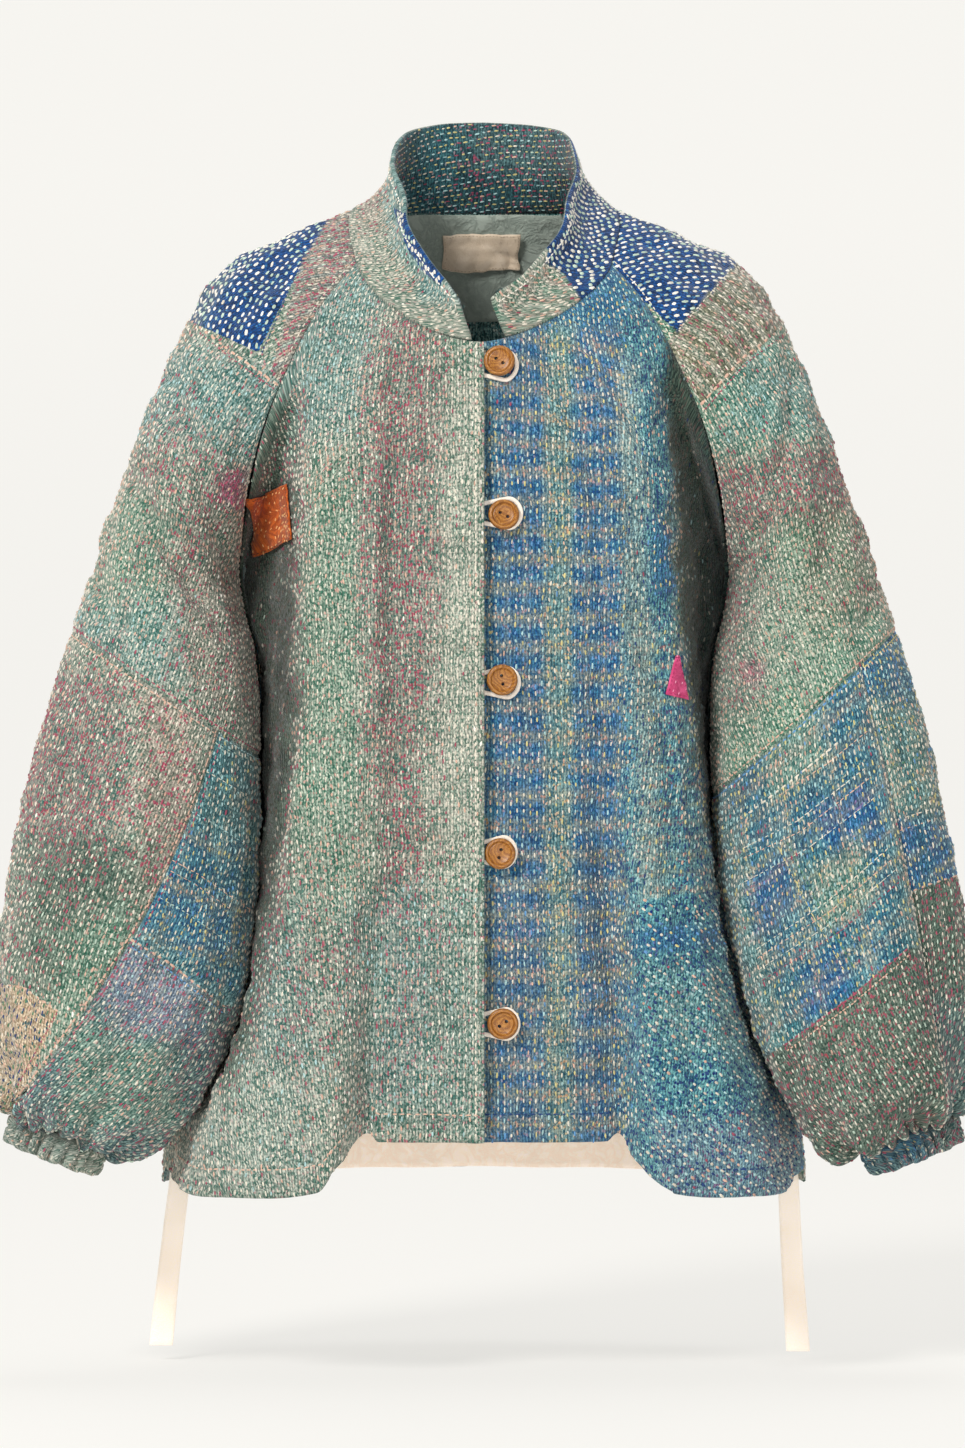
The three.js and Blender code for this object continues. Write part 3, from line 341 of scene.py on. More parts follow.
# s runs down the sleeve; v runs round it, from the front seam at 0, over the outside at 0.5, to 1
def sleeveSection(side, s, v):
    s, v = np.broadcast_arrays(np.asarray(s, float), np.asarray(v, float))
    r = readTable(sleeveTables[side], "at", s)
    for letter, rows in (("p", frontRows), ("q", backRows)):
        seam = readTable(rows, "at", s)
        for axis in "xyz":
            r[letter + axis] = np.where(s <= underarm, seam[axis], r[letter + axis])
    outer = points(r["ax"], r["ay"], r["az"])
    front = arc(points(r["px"], r["py"], r["pz"]), points(r["fx"], r["fy"], r["fz"]),
                outer, points(r["ux"], r["uy"], r["uz"]), 2 * v)
    back = arc(outer, points(r["ux"], r["wy"], r["uz"]),
               points(r["qx"], r["qy"], r["qz"]), points(r["bx"], r["by"], r["bz"]), 2 * v - 1)
    return np.where((v < 0.5)[..., None], front, back)


def sleevePoint(side, s, v):
    s, v = np.broadcast_arrays(np.asarray(s, float), np.asarray(v, float))
    p = sleeveSection(side, s, v)
    push = np.zeros(s.shape)
    for fold in sleeveFolds:
        if fold["side"] != side:
            continue
        t = (s - fold["first"]) / (fold["last"] - fold["first"])
        away = (v - lerp(fold["top"], fold["bottom"], t)) / fold["width"]
        push += np.where((t > 0) & (t < 1), fold["depth"] * np.sin(math.pi * t) * np.exp(-away * away), 0)
    push += (gathers["depth"] * smooth(6.5, 8.7, s) * (1 - smooth(9, wrist, s))
             * np.sin(2 * math.pi * gathers["count"] * v))
    middle = (sleeveSection(side, s, 0 * v) + sleeveSection(side, s, 0 * v + 0.5)) / 2
    p = p + unit(p - middle) * push[..., None]
    return p * np.array([side, 1, 1])


# The room that each sleeve leaves for the body, by height and by angle round the body's middle
roomSteps = dict(z=np.arange(-225, -646, -2.0), angle=np.radians(np.arange(-80, 80.5, 0.5)))


def measureRoom(side):
    lines = sleevePoint(side, np.linspace(0, wrist, 161)[None],
                        np.linspace(0, 1, 80, endpoint=False)[:, None])
    lines[..., 0] = np.abs(lines[..., 0])
    dx, dy = np.cos(roomSteps["angle"]), np.sin(roomSteps["angle"])
    room = np.full((len(roomSteps["z"]), len(dx)), 2000.0)
    for k, z in enumerate(roomSteps["z"]):
        crosses = (lines[:, :-1, 2] >= z) & (lines[:, 1:, 2] < z)
        has = crosses.any(1)
        if not has.any():
            continue
        first = crosses.argmax(1)[has]
        which = np.flatnonzero(has)
        above, below = lines[which, first], lines[which, first + 1]
        t = (above[:, 2] - z) / (above[:, 2] - below[:, 2])
        cut = above + (below - above) * t[:, None]
        a, b = cut[:, None], np.roll(cut, -1, 0)[:, None]
        ex, ey = b[..., 0] - a[..., 0], b[..., 1] - a[..., 1]
        det = dx * ey - dy * ex
        det = np.where(np.abs(det) < 1e-9, 1e-9, det)
        r = (a[..., 0] * ey - a[..., 1] * ex) / det
        along = (a[..., 0] * dy - a[..., 1] * dx) / det
        room[k] = np.where((r > 0) & (along >= 0) & (along <= 1), r, 2000.0).min(0)
    return room


rooms = {side: measureRoom(side) for side in (right, left)}


def roomAt(side, z, angle):
    i = np.clip((roomSteps["z"][0] - z) / 2.0, 0, len(roomSteps["z"]) - 1.001)
    j = np.clip((angle - roomSteps["angle"][0]) / math.radians(0.5), 0, len(roomSteps["angle"]) - 1.001)
    i0, j0 = i.astype(int), j.astype(int)
    fi, fj = i - i0, j - j0
    r = rooms[side]
    return (lerp(lerp(r[i0, j0], r[i0, j0 + 1], fj), lerp(r[i0 + 1, j0], r[i0 + 1, j0 + 1], fj), fi))


def hemZ(side, isFront, x):
    if not isFront:
        return cloth["hem"] + 0 * x
    edge = flareRows[sideName[side] + "Edge"][-1]
    # the flare's hem is a shallow bow: lowest in its middle, turned up towards both ends
    middle = (edge + 219) / 2
    bow = 13 * np.clip(np.abs(x - middle) / (219 - middle), 0, 1) ** 3.2 * smooth(edge - 8, edge + 4, x)
    return cloth["hem"] + cloth["hemRise"] * (1 - smooth(edge - 5, edge + 19, x)) * 0.97 + bow


# Folds the body, and keeps it clear of the sleeve
def drape(side, isFront, p, fade):
    x, y, z = p[..., 0], p[..., 1], p[..., 2]
    body = readTable(bodyRows, "z", np.minimum(z, cloth["underarm"]))
    depth = body["front"] if isFront else body["back"]
    out = unit(points(x / body["half"] ** 2, y / depth ** 2, 0))
    push = 0
    if isFront:
        row = readTable(flareRows, "z", np.minimum(z, flareRows["z"][0]))
        edge = row[sideName[side] + "Edge"]
        push = row["out"] * smooth(edge, edge + cloth["edgeWidth"],
                                   x) * (1 - smooth(row["outFrom"], row["outTo"], x))
        if side == left:
            push = push + row["side"] * np.exp(-((x - sideFold["x"]) / sideFold["width"]) ** 2)
    else:
        down = smooth(150, 640, -z)
        for foldX, width, foldOut in backFolds:
            away = (side * x - foldX * lerp(0.82, 1, down)) / width
            push = push + foldOut * down * np.exp(-away * away)
    p = p + out * (push * fade)[..., None]
    r, angle = np.hypot(p[..., 0], p[..., 1]), np.arctan2(p[..., 1], p[..., 0])
    below = cloth["underarm"] - z
    near = 0.07 * smooth(0, 40, below)
    room = np.min([roomAt(side, z, angle + k * near) for k in (-1, -0.5, 0, 0.5, 1)],
                  axis=0) - 1.0 * smooth(0, 24, below)
    over = np.where(below > -0.01, np.maximum(r - room, 0), 0)
    share = (r - over) / r
    p = np.stack([p[..., 0] * share, p[..., 1] * share, p[..., 2]], -1)
    if isFront and side == right:
        p[..., 1] -= cloth["overlapLift"] * (1 - smooth(0, cloth["overlapFade"], p[..., 0]))
    return p * np.array([side, 1, 1])


# A point of the body: u is 0 at the middle and 1 at the side; w is 0 at the hem, 1 at the underarm and 2
# at the neck
def bodyPoint(side, isFront, u, w):
    u, w = np.broadcast_arrays(np.asarray(u, float), np.asarray(w, float))
    edge = (-cloth["rightEdge"] if side == right else cloth["leftEdge"]) if isFront else 0.0
    top = frontRows if isFront else backRows
    r = readTable(top, "at", np.clip(2 - w, 0, 1))
    upper = arc(points(edge, r["cy"], r["cz"]), points(r["pull"], 0, 0), points(r["x"], r["y"], r["z"]),
                points(r["tx"], r["ty"], r["tz"]), u)
    hemX = bodyRows["half"][-1] * hermite(0, cloth["fullness"], 1, 0, u)
    z = lerp(hemZ(side, isFront, hemX), cloth["underarm"], np.clip(w, 0, 1))
    b = readTable(bodyRows, "z", z)
    depth = b["front"] if isFront else b["back"]
    join = smooth(0.7, 1, w)
    pull = lerp(cloth["fullness"] * b["half"], top["pull"][-1], join)
    lower = arc(points(edge, depth, z), points(pull, 0, 0), points(b["half"], b["sideY"], z),
                points(top["tx"][-1] * join, lerp(-cloth["fullness"] * depth, top["ty"][-1], join), 0), u)
    fade = np.where(w > 1, (1 - smooth(0.8, 1, u)) * (1 - smooth(1.7, 2, w)), 1.0)
    return drape(side, isFront, np.where((w > 1)[..., None], upper, lower), fade)


def backPoint(u, w):
    u, w = np.broadcast_arrays(np.asarray(u, float), np.asarray(w, float))
    return np.where((u < 0.5)[..., None], bodyPoint(right, False, np.clip(1 - 2 * u, 0, 1), w),
                    bodyPoint(left, False, np.clip(2 * u - 1, 0, 1), w))


# Rows and columns of each panel's grid, about 4 mm apart, and closer at the steep edge of a front's flare
def frontColumns(side):
    first, last = {right: (0.185, 0.285), left: (0.25, 0.35)}[side]
    before, steep, after = {right: (15, 20, 54), left: (20, 20, 50)}[side]
    return np.concatenate([np.linspace(0, first, before + 1)[:-1], np.linspace(first, last, steep + 1)[:-1],
                           np.linspace(last, 1, after + 1)])


bodySteps = np.concatenate([np.linspace(0, 1, 104)[:-1], np.linspace(1, 2, 54)])
upperSteps = np.concatenate([np.linspace(0, 1, 72)[:-1], np.linspace(1, elbow, 34)])
lowerSteps = elbow + (wrist - elbow) * np.linspace(0, 1, 96) ** 0.92


def normalsOf(grid, inside):
    across, down = np.gradient(grid, axis=1), np.gradient(grid, axis=0)
    normals = unit(np.cross(across, down))
    return normals if np.einsum("ijk,ijk->ij", normals, grid - inside).mean() > 0 else -normals


# Lengths along the cloth in millimetres: U across it from column start, V up it from row zero
def clothLengths(grid, zeroColumn, zeroRow, closed=False):
    stepU = np.linalg.norm(np.diff(grid, axis=1), axis=2)
    stepV = np.linalg.norm(np.diff(grid, axis=0), axis=2)
    u = np.pad(np.cumsum(stepU, 1), ((0, 0), (1, 0)))
    v = np.pad(np.cumsum(stepV, 0), ((1, 0), (0, 0)))
    return u - u[:, zeroColumn][:, None], v - v[zeroRow][None]


# Soft troughs and ridges: from one place on the panel to another, by shares of its columns and rows,
# with width and depth in millimetres
def addCreases(panel, creases, troughs):
    u, v = panel["u"], panel["v"]
    m, n = u.shape
    push = np.zeros(u.shape)
    for start, end, width, depth, bend in creases:
        ends = []
        for a, b in (start, end):
            i, j = int(round(b * (m - 1))), int(round(a * (n - 1)))
            ends.append((u[i, j], v[i, j]))
        (u0, v0), (u1, v1) = ends
        du, dv = u1 - u0, v1 - v0
        length = math.hypot(du, dv)
        t = ((u - u0) * du + (v - v0) * dv) / length ** 2
        across = ((u - u0) * dv - (v - v0) * du) / length - bend * np.sin(math.pi * np.clip(t, 0, 1))
        wide = width * (0.75 + 0.5 * np.clip(t, 0, 1) + 0.12 * np.sin(11 * t + depth))
        along = np.sin(math.pi * np.clip(t, 0, 1)) ** 0.7 * (1 + 0.22 * np.sin(8.3 * t + 2 * bend))
        push += depth * (troughs if depth < 0 else 1) * along * np.exp(-((across / wide) ** 2))
    waves = ((0.021, 0.012, 0.9, 0.3), (-0.014, 0.027, 0.8, 1.7), (0.047, 0.009, 0.45, 2.9),
             (0.012, 0.055, 0.4, 4.1), (0.083, -0.04, 0.25, 5.5))
    for a, b, depth, phase in waves:
        push += depth * np.sin(2 * math.pi * (a * u + b * v) + phase + 1.3 * np.sin(0.03 * v + phase))
    return push


# How far each grid point is from the sewn and the free edges, in millimetres of cloth
def edgeDistance(grid, edges):
    stepU = np.linalg.norm(np.diff(grid, axis=1), axis=2)
    stepV = np.linalg.norm(np.diff(grid, axis=0), axis=2)
    fromStart = np.pad(np.cumsum(stepU, 1), ((0, 0), (1, 0)))
    fromFirst = np.pad(np.cumsum(stepV, 0), ((1, 0), (0, 0)))
    ways = dict(start=fromStart, end=fromStart[:, -1:] - fromStart, first=fromFirst,
                last=fromFirst[-1:] - fromFirst)
    return np.min([ways[e] for e in edges], axis=0) if edges else np.full(grid.shape[:2], 1e3)


# Long vertical folds of a front by the sleeve, in its own x and z: crests pulled forward, valleys pushed back
longFolds = {
    right: [dict(top=(144, -100), bottom=(180, -560), width=24, depth=44, steep=4, bow=9),
            dict(top=(118, -90), bottom=(146, -560), width=10, depth=-6, steep=2),
            dict(top=(67, -90), bottom=(71, -480), width=7, depth=-3.6, steep=2),
            dict(top=(53, -90), bottom=(57, -480), width=8, depth=3, steep=2),
            dict(top=(78, -330), bottom=(92, -600), width=12, depth=6, steep=2),
            dict(top=(182, -420), bottom=(196, -640), width=9, depth=6, steep=2)],
    left: [dict(top=(137, -90), bottom=(198, -560), width=21, depth=40, steep=4, bow=9.5),
           dict(top=(113, -70), bottom=(158, -560), width=10, depth=-7, steep=2),
           dict(top=(72, -330), bottom=(92, -610), width=11, depth=7, steep=2),
           dict(top=(60, -80), bottom=(66, -330), width=9, depth=-3, steep=2),
           dict(top=(186, -430), bottom=(198, -640), width=9, depth=6, steep=2)],
}


def makePanel(name, grid, inside, zero, sewn, creases=(), quiet=(), folds=()):
    seam, still = edgeDistance(grid, sewn), edgeDistance(grid, tuple(sewn) + tuple(quiet))
    grid = grid.copy()
    x = np.abs(grid[..., 0])
    back = 0 * x
    for fold in folds:
        (x0, z0), (x1, z1) = fold["top"], fold["bottom"]
        t = (grid[..., 2] - z0) / (z1 - z0)
        middle = lerp(x0, x1, np.clip(t, 0, 1)) - fold.get("bow", 0) * np.sin(math.pi * np.clip(t, 0, 1))
        away = (x - middle - 2 * np.sin(6 * t)) / fold["width"]
        inRange = smooth(-0.12, 0.22, t) * (1 - smooth(0.72, 1.1, t))
        back += fold["depth"] * np.exp(-np.abs(away) ** fold["steep"]) * inRange
    grid[..., 1] += back * smooth(0, 24, seam)
    normals = normalsOf(grid, inside)
    u, v = clothLengths(grid, *zero)
    panel = dict(u=u, v=v)
    push = addCreases(panel, creases, 1 if name == "back" else cloth["troughs"]) * smooth(0, 26, still)
    # at a sewn edge the quilt is pressed down into the seam, and swells just beside it
    push += -1.15 * (1 - smooth(0, 5, seam)) + 0.5 * np.exp(-((seam - 9) / 4) ** 2)
    grid = grid + normals * push[..., None]
    free = edgeDistance(grid, [e for e in ("first", "last", "start", "end") if e not in sewn])
    thickness = lerp(cloth["edge"], cloth["thickness"], smooth(1, 9, seam)) - 0.4 * (1 - smooth(0, 4, free))
    panel.update(grid=grid, normals=normalsOf(grid, inside), thickness=thickness)
    panel["x"], panel["y"] = seenAt(grid)
    return panel


def towards(p):
    return p * np.array([0.4, 0.1, 1]) - np.array([0, 0, 45])


# Creases of each panel. The fronts fall in two deep flares, and drag lines run from the raglan seams.
frontCreases = {
    right: [
        ((0.55, 0.1), (0.5, 0.62), 13, -3.2, 8), ((0.42, 0.05), (0.4, 0.5), 9, 2.2, -6),
        ((0.72, 0.2), (0.8, 0.72), 12, -3.4, 6),
        ((0.62, 0.7), (0.95, 0.86), 9, -2.2, 5), ((0.5, 0.66), (0.86, 0.93), 8, 1.8, -4),
        ((0.12, 0.08), (0.1, 0.56), 12, -1.4, 5),
        ((0.3, 0.68), (0.55, 0.97), 10, -1.6, 4), ((0.86, 0.04), (0.84, 0.42), 11, 2.6, 5),
        ((0.2, 0.5), (0.33, 0.9), 11, 1.2, -5), ((0.66, 0.02), (0.63, 0.3), 9, 2.4, 3),
    ],
    left: [
        ((0.6, 0.06), (0.56, 0.6), 12, -3.0, -8), ((0.46, 0.04), (0.45, 0.52), 9, 2.4, 5),
        ((0.76, 0.16), (0.82, 0.7), 13, -3.6, -6),
        ((0.6, 0.72), (0.94, 0.88), 9, -2.2, -5), ((0.5, 0.68), (0.84, 0.95), 8, 1.8, 4),
        ((0.16, 0.04), (0.14, 0.48), 11, -1.5, -5),
        ((0.34, 0.7), (0.56, 0.98), 10, -1.4, -4), ((0.88, 0.04), (0.86, 0.4), 11, 2.8, -5),
        ((0.7, 0.02), (0.67, 0.33), 9, 2.2, -3),
    ],
}
backCreases = [
    ((0.34, 0.08), (0.36, 0.66), 14, -3.4, 8), ((0.6, 0.04), (0.6, 0.6), 15, -3.0, -7),
    ((0.47, 0.1), (0.48, 0.74), 12, 2.2, 5),
    ((0.2, 0.1), (0.14, 0.62), 13, -3.2, -6), ((0.8, 0.08), (0.86, 0.64), 13, -3.6, 6),
    ((0.08, 0.7), (0.4, 0.86), 10, -2.4, 8),
    ((0.92, 0.7), (0.62, 0.88), 10, -2.2, -8), ((0.12, 0.62), (0.34, 0.74), 9, 1.8, 5),
    ((0.88, 0.6), (0.68, 0.76), 9, 1.8, -5),
    ((0.3, 0.92), (0.7, 0.91), 12, -1.6, 10), ((0.7, 0.02), (0.72, 0.4), 10, 2.6, 4),
    ((0.27, 0.02), (0.26, 0.38), 10, 2.4, -4),
]
upperCreases = {
    right: [
        ((0.1, 0.86), (0.44, 0.62), 11, -3.6, 8), ((0.06, 0.72), (0.34, 0.46), 10, -3.0, 7),
        ((0.3, 0.95), (0.62, 0.78), 12, -2.6, 6),
        ((0.12, 0.98), (0.36, 0.86), 8, 2.2, -4), ((0.42, 0.3), (0.5, 0.72), 14, -2.0, 9),
        ((0.7, 0.95), (0.95, 0.7), 11, -3.6, 7),
        ((0.62, 0.7), (0.9, 0.45), 11, -2.8, 7), ((0.2, 0.3), (0.4, 0.12), 12, -1.6, 5),
        ((0.55, 0.5), (0.58, 0.98), 12, 2.0, 6),
    ],
    left: [
        ((0.08, 0.9), (0.42, 0.66), 11, -3.8, -8), ((0.05, 0.7), (0.36, 0.44), 10, -3.2, -7),
        ((0.28, 0.97), (0.6, 0.74), 12, -2.4, -6),
        ((0.14, 0.99), (0.34, 0.88), 8, 2.4, 4), ((0.45, 0.34), (0.5, 0.8), 14, -2.2, -8),
        ((0.72, 0.95), (0.95, 0.72), 11, -3.4, -7),
        ((0.6, 0.72), (0.9, 0.48), 11, -3.0, -7), ((0.22, 0.34), (0.42, 0.14), 12, -1.6, -5),
        ((0.56, 0.48), (0.57, 0.96), 12, 2.2, -6),
    ],
}
lowerCreases = {
    (right, True): [((0.2, 0.02), (0.42, 0.6), 12, -2.8, 7), ((0.6, 0.1), (0.7, 0.72), 13, -2.6, -6),
                    ((0.4, 0.4), (0.3, 0.92), 9, 3.0, 4),
                    ((0.72, 0.45), (0.62, 0.95), 9, 3.0, 4), ((0.1, 0.5), (0.35, 0.94), 8, -3.0, 4),
                    ((0.85, 0.3), (0.8, 0.9), 9, -3.2, 5)],
    (left, True): [((0.3, 0.04), (0.4, 0.6), 12, -2.8, -7), ((0.62, 0.1), (0.72, 0.74), 13, -2.8, 6),
                   ((0.2, 0.45), (0.25, 0.92), 9, 3.0, 4),
                   ((0.8, 0.4), (0.7, 0.95), 9, 3.0, 4), ((0.5, 0.55), (0.48, 0.95), 8, -3.2, 4)],
    (right, False): [((0.3, 0.04), (0.36, 0.6), 12, -2.8, 7), ((0.66, 0.02), (0.6, 0.55), 11, -3.0, 6),
                     ((0.78, 0.1), (0.72, 0.7), 11, -2.6, -6),
                     ((0.5, 0.35), (0.52, 0.92), 10, 3.0, 4), ((0.16, 0.4), (0.24, 0.94), 10, 2.8, 4),
                     ((0.84, 0.5), (0.8, 0.95), 8, 2.6, 3), ((0.62, 0.6), (0.66, 0.97), 8, -3.2, 3)],
    (left, False): [((0.34, 0.04), (0.38, 0.6), 12, -2.8, -7), ((0.6, 0.02), (0.62, 0.5), 11, -3.2, -6),
                    ((0.86, 0.06), (0.8, 0.62), 11, -3.0, 6),
                    ((0.5, 0.35), (0.48, 0.92), 10, 3.0, 4), ((0.18, 0.4), (0.22, 0.94), 10, 2.8, 4),
                    ((0.74, 0.45), (0.72, 0.95), 8, 3.0, 3)],
}


def sleeveMiddle(side, grid, s):
    middle = (sleevePoint(side, s, 0.02) + sleevePoint(side, s, 0.5)) / 2
    cap = grid * np.array([0.75, 0, 1]) - np.array([0, 0, 70])
    return np.where((s < underarm)[..., None], cap, middle)


def gatherInto(grid, normals, s, v, side):
    # the sleeve's end is drawn into the cuff by fine uneven gathers, about 13 mm apart
    wave = np.sin(2 * math.pi * (23 * v + 0.35 * np.sin(2 * math.pi * 3 * v + side)))
    wave += 0.45 * np.sin(2 * math.pi * (37 * v + 0.2 * np.sin(2 * math.pi * 5 * v)))
    depth = 3.0 * smooth(6.6, 9.0, s) * (1 - 0.6 * smooth(9.4, wrist, s))
    ripple = 7 * v + 0.12 * np.sin(2 * math.pi * 2 * v + side)
    puff = np.sin(2 * math.pi * ripple) * 3.6 * smooth(5.6, 8.2, s) * (1 - smooth(8.8, wrist, s))
    return grid + normals * (wave * depth + puff)[..., None]


panels = {}
for side in (right, left):
    grid = bodyPoint(side, True, frontColumns(side)[None], bodySteps[:, None])
    panels["front_" + sideName[side]] = makePanel("front_" + sideName[side], grid, towards(grid), (0, 103),
                                                  ("last", "end"),
                                                  frontCreases[side], ("start",), longFolds[side])
    if side == right:
        # its free edge stands a little off the other front
        front = panels["front_right"]
        front["grid"][..., 1] -= (4.5 * np.exp(-(front["u"] / 15) ** 2)
                                  * smooth(-90, -150, front["grid"][..., 2]))
    grid = sleevePoint(side, upperSteps[:, None], np.linspace(0, 1, 128)[None])
    s = np.broadcast_to(upperSteps[:, None], grid.shape[:2])
    panels["sleeve_upper_" + sideName[side]] = makePanel(
        "sleeve_upper_" + sideName[side], grid, sleeveMiddle(side, grid, s), (64, 0),
        ("first", "last", "start", "end"), upperCreases[side])
    seam = lowerSeams[side]
    for isOuter in (True, False):
        name = ("sleeve_outer_" if isOuter else "sleeve_inner_") + sideName[side]
        count = {(right, True): 42, (left, True): 56, (right, False): 96, (left, False): 82}[side, isOuter]
        t = ((lowerSteps - elbow) / (wrist - elbow))[:, None]
        front = lerp(seam["frontElbow"], seam["frontCuff"], t)
        back = lerp(seam["backElbow"], seam["backCuff"], t)
        c = np.linspace(0, 1, count)[None]
        v = lerp(front, back, c) if isOuter else lerp(back - 1, front, c)
        v = np.where(v < 0, v + 1, v)
        s = np.broadcast_to(lowerSteps[:, None], v.shape)
        grid = sleevePoint(side, s, v)
        grid = gatherInto(grid, normalsOf(grid, sleeveMiddle(side, grid, s)), s, v, side)
        panels[name] = makePanel(name, grid, sleeveMiddle(side, grid, s), (count // 2, 0),
                                 ("first", "last", "start", "end"), lowerCreases[side, isOuter])
grid = backPoint(np.linspace(0, 1, 138)[None], bodySteps[:, None])
panels["back"] = makePanel("back", grid, towards(grid), (69, 103), ("last", "start", "end"), backCreases)
print("panels formed:", ", ".join(f"{n} {p['grid'].shape[:2]}" for n, p in panels.items()))

# Colours of the old cloth, and of painted shade. Each yarn has the darkest and lightest shade of its
# heather, a fleck with the share of the weave that it takes, and the threads that its running stitches
# are sewn with.
# moss and umber are dark threads for the painted shade by the sleeves
threadColours = dict(cream="#DDD4C3", peach="#D6AD98", rose="#A0465C", cyan="#A9CBCB", yellow="#CFC283",
                     navy="#17386E",
                     white="#F1ECE0", red="#9A3A44", green="#4E7D5C", sky="#5F93C4", mint="#BFD2C0",
                     moss="#5A6453", umber="#776A5C")
threadNames = list(threadColours)
yarns = {
    "sage": ("#3A6A58", "#BBBDAE", "#B9606F", 0.07, dict(cream=7, peach=2, white=1)),
    "paleSage": ("#5C7C6C", "#D0CDBE", "#A9C2B0", 0.1, dict(cream=8, peach=1.5, rose=0.3)),
    "rose": ("#3F6C63", "#ABA195", "#A8445C", 0.26, dict(rose=4, peach=3, cream=3, red=1)),
    "green": ("#2F6C56", "#A0BAA5", "#D8CDB2", 0.1, dict(cream=7, peach=3)),
    "teal": ("#225F60", "#94BAB5", "#C9D6CC", 0.1, dict(cream=5, cyan=3, peach=1, rose=1)),
    "deepTeal": ("#15495A", "#4C8B92", "#9CC8C4", 0.12, dict(cyan=5, cream=4, yellow=2)),
    "mossDark": ("#2C473C", "#6E8474", "#9A5F62", 0.14, dict(cream=4, mint=2, rose=3)),
    # painted shade: a near-black yarn laid where the fronts turn back into shadow by the sleeves
    "shade": ("#0D1611", "#3A4A3C", "#4A3432", 0.12, dict(moss=6, umber=3)),
    "blue": ("#0F4478", "#4A8DA2", "#B5AC80", 0.08, dict(cyan=4, cream=3, yellow=1.5, sky=2)),
    "deepBlue": ("#0A4078", "#34799F", "#6F7FB4", 0.1, dict(cyan=4, cream=2, yellow=1, sky=4)),
    "tan": ("#48737C", "#B5AB8E", "#C98A62", 0.2, dict(cream=4, yellow=4, peach=2)),
    "speckle": ("#0E5274", "#76B4B4", "#0A2A6E", 0.2, dict(cyan=3, cream=3, navy=5, peach=1.5)),
    "cobalt": ("#022A55", "#0B5298", "#3A86B4", 0.08, dict(white=3, mint=2)),
    "olive": ("#46523F", "#9C9A80", "#B0767A", 0.16, dict(cream=5, peach=3, rose=2)),
    "lavender": ("#566A82", "#ABB4C2", "#B98CA0", 0.16, dict(cream=6, peach=2, rose=1, cyan=1)),
    "slate": ("#34545A", "#82A09E", "#A06A80", 0.16, dict(cream=5, mint=2, rose=2)),
    "sand": ("#A08A6C", "#E4D0B4", "#2F5F66", 0.2, dict(navy=3, green=3, peach=2, cream=2)),
    "roseTan": ("#6C7466", "#C6B3A5", "#B84A66", 0.22, dict(peach=4, cream=3, rose=4)),
    "night": ("#0E2C36", "#33646A", "#8E4560", 0.14, dict(yellow=4, peach=2, cyan=3, rose=2)),
    "magenta": ("#7A2C50", "#B85C86", "#E0508C", 0.35, dict(rose=6, peach=1)),
}


def yarnValues(name):
    dark, light, fleck, share, threads = yarns[name]
    weights = np.array([threads.get(t, 0) for t in threadNames], float)
    return np.concatenate([hexToLinear(dark), hexToLinear(light), hexToLinear(fleck), [share],
                           weights / weights.sum()])


# Signed distance to an outline, positive inside
def insideOutline(outline, x, y):
    corners = np.array(outline, float)
    nearest = np.full(x.shape, 1e9)
    crossings = np.zeros(x.shape, int)
    for (ax, ay), (bx, by) in zip(corners, np.roll(corners, -1, 0)):
        ex, ey = bx - ax, by - ay
        t = np.clip(((x - ax) * ex + (y - ay) * ey) / (ex * ex + ey * ey), 0, 1)
        nearest = np.minimum(nearest, np.hypot(x - ax - t * ex, y - ay - t * ey))
        straddles = (ay > y) != (by > y)
        crossings += straddles & (x < ax + (y - ay) * ex / (ey if ey else 1e-9))
    return np.where(crossings % 2 == 1, nearest, -nearest)


# Cloth is painted zone on zone. x and y are the outline's own coordinates, u and v are cloth lengths.
def paintZones(base, zones, x, y, u, v):
    look = np.broadcast_to(yarnValues(base), x.shape + (10 + len(threadNames),)).copy()
    for zone in zones:
        mask = np.full(x.shape, float(zone.get("strength", 1)))
        wobble = 3 * np.sin(0.09 * u + 0.05 * v) + 2.5 * np.sin(0.13 * v - 0.04 * u)
        if "outline" in zone:
            soft = zone.get("soft", 12)
            mask = mask * smooth(-soft, soft,
                                 insideOutline(zone["outline"], x, y) + wobble * min(1, soft / 10))
        for key, length in (("columns", u), ("rows", v)):
            if key in zone:
                period, width, start, soft = zone[key]
                away = np.abs((length - start + period / 2) % period - period / 2)
                mask = mask * (1 - smooth(width / 2 - soft, width / 2 + soft, away))
        look += (yarnValues(zone["yarn"]) - look) * mask[..., None]
    return look


# Crisp patches and pieces sewn into a panel: the nearest one's look, and the distance inside its edge
def paintPatches(patches, x, y, u, v):
    look = np.zeros(x.shape + (10 + len(threadNames),))
    edge = np.full(x.shape, -1e3)
    which = np.full(x.shape, -1)
    for k, patch in enumerate(patches):
        distance = insideOutline(patch["outline"], x, y) * picture["mmPerPixel"]
        nearer = distance > edge
        own = paintZones(patch["yarn"], patch.get("zones", ()), x, y, u, v)
        look = np.where(nearer[..., None], own, look)
        which = np.where(nearer, k, which)
        edge = np.maximum(edge, distance)
    return look, edge, which


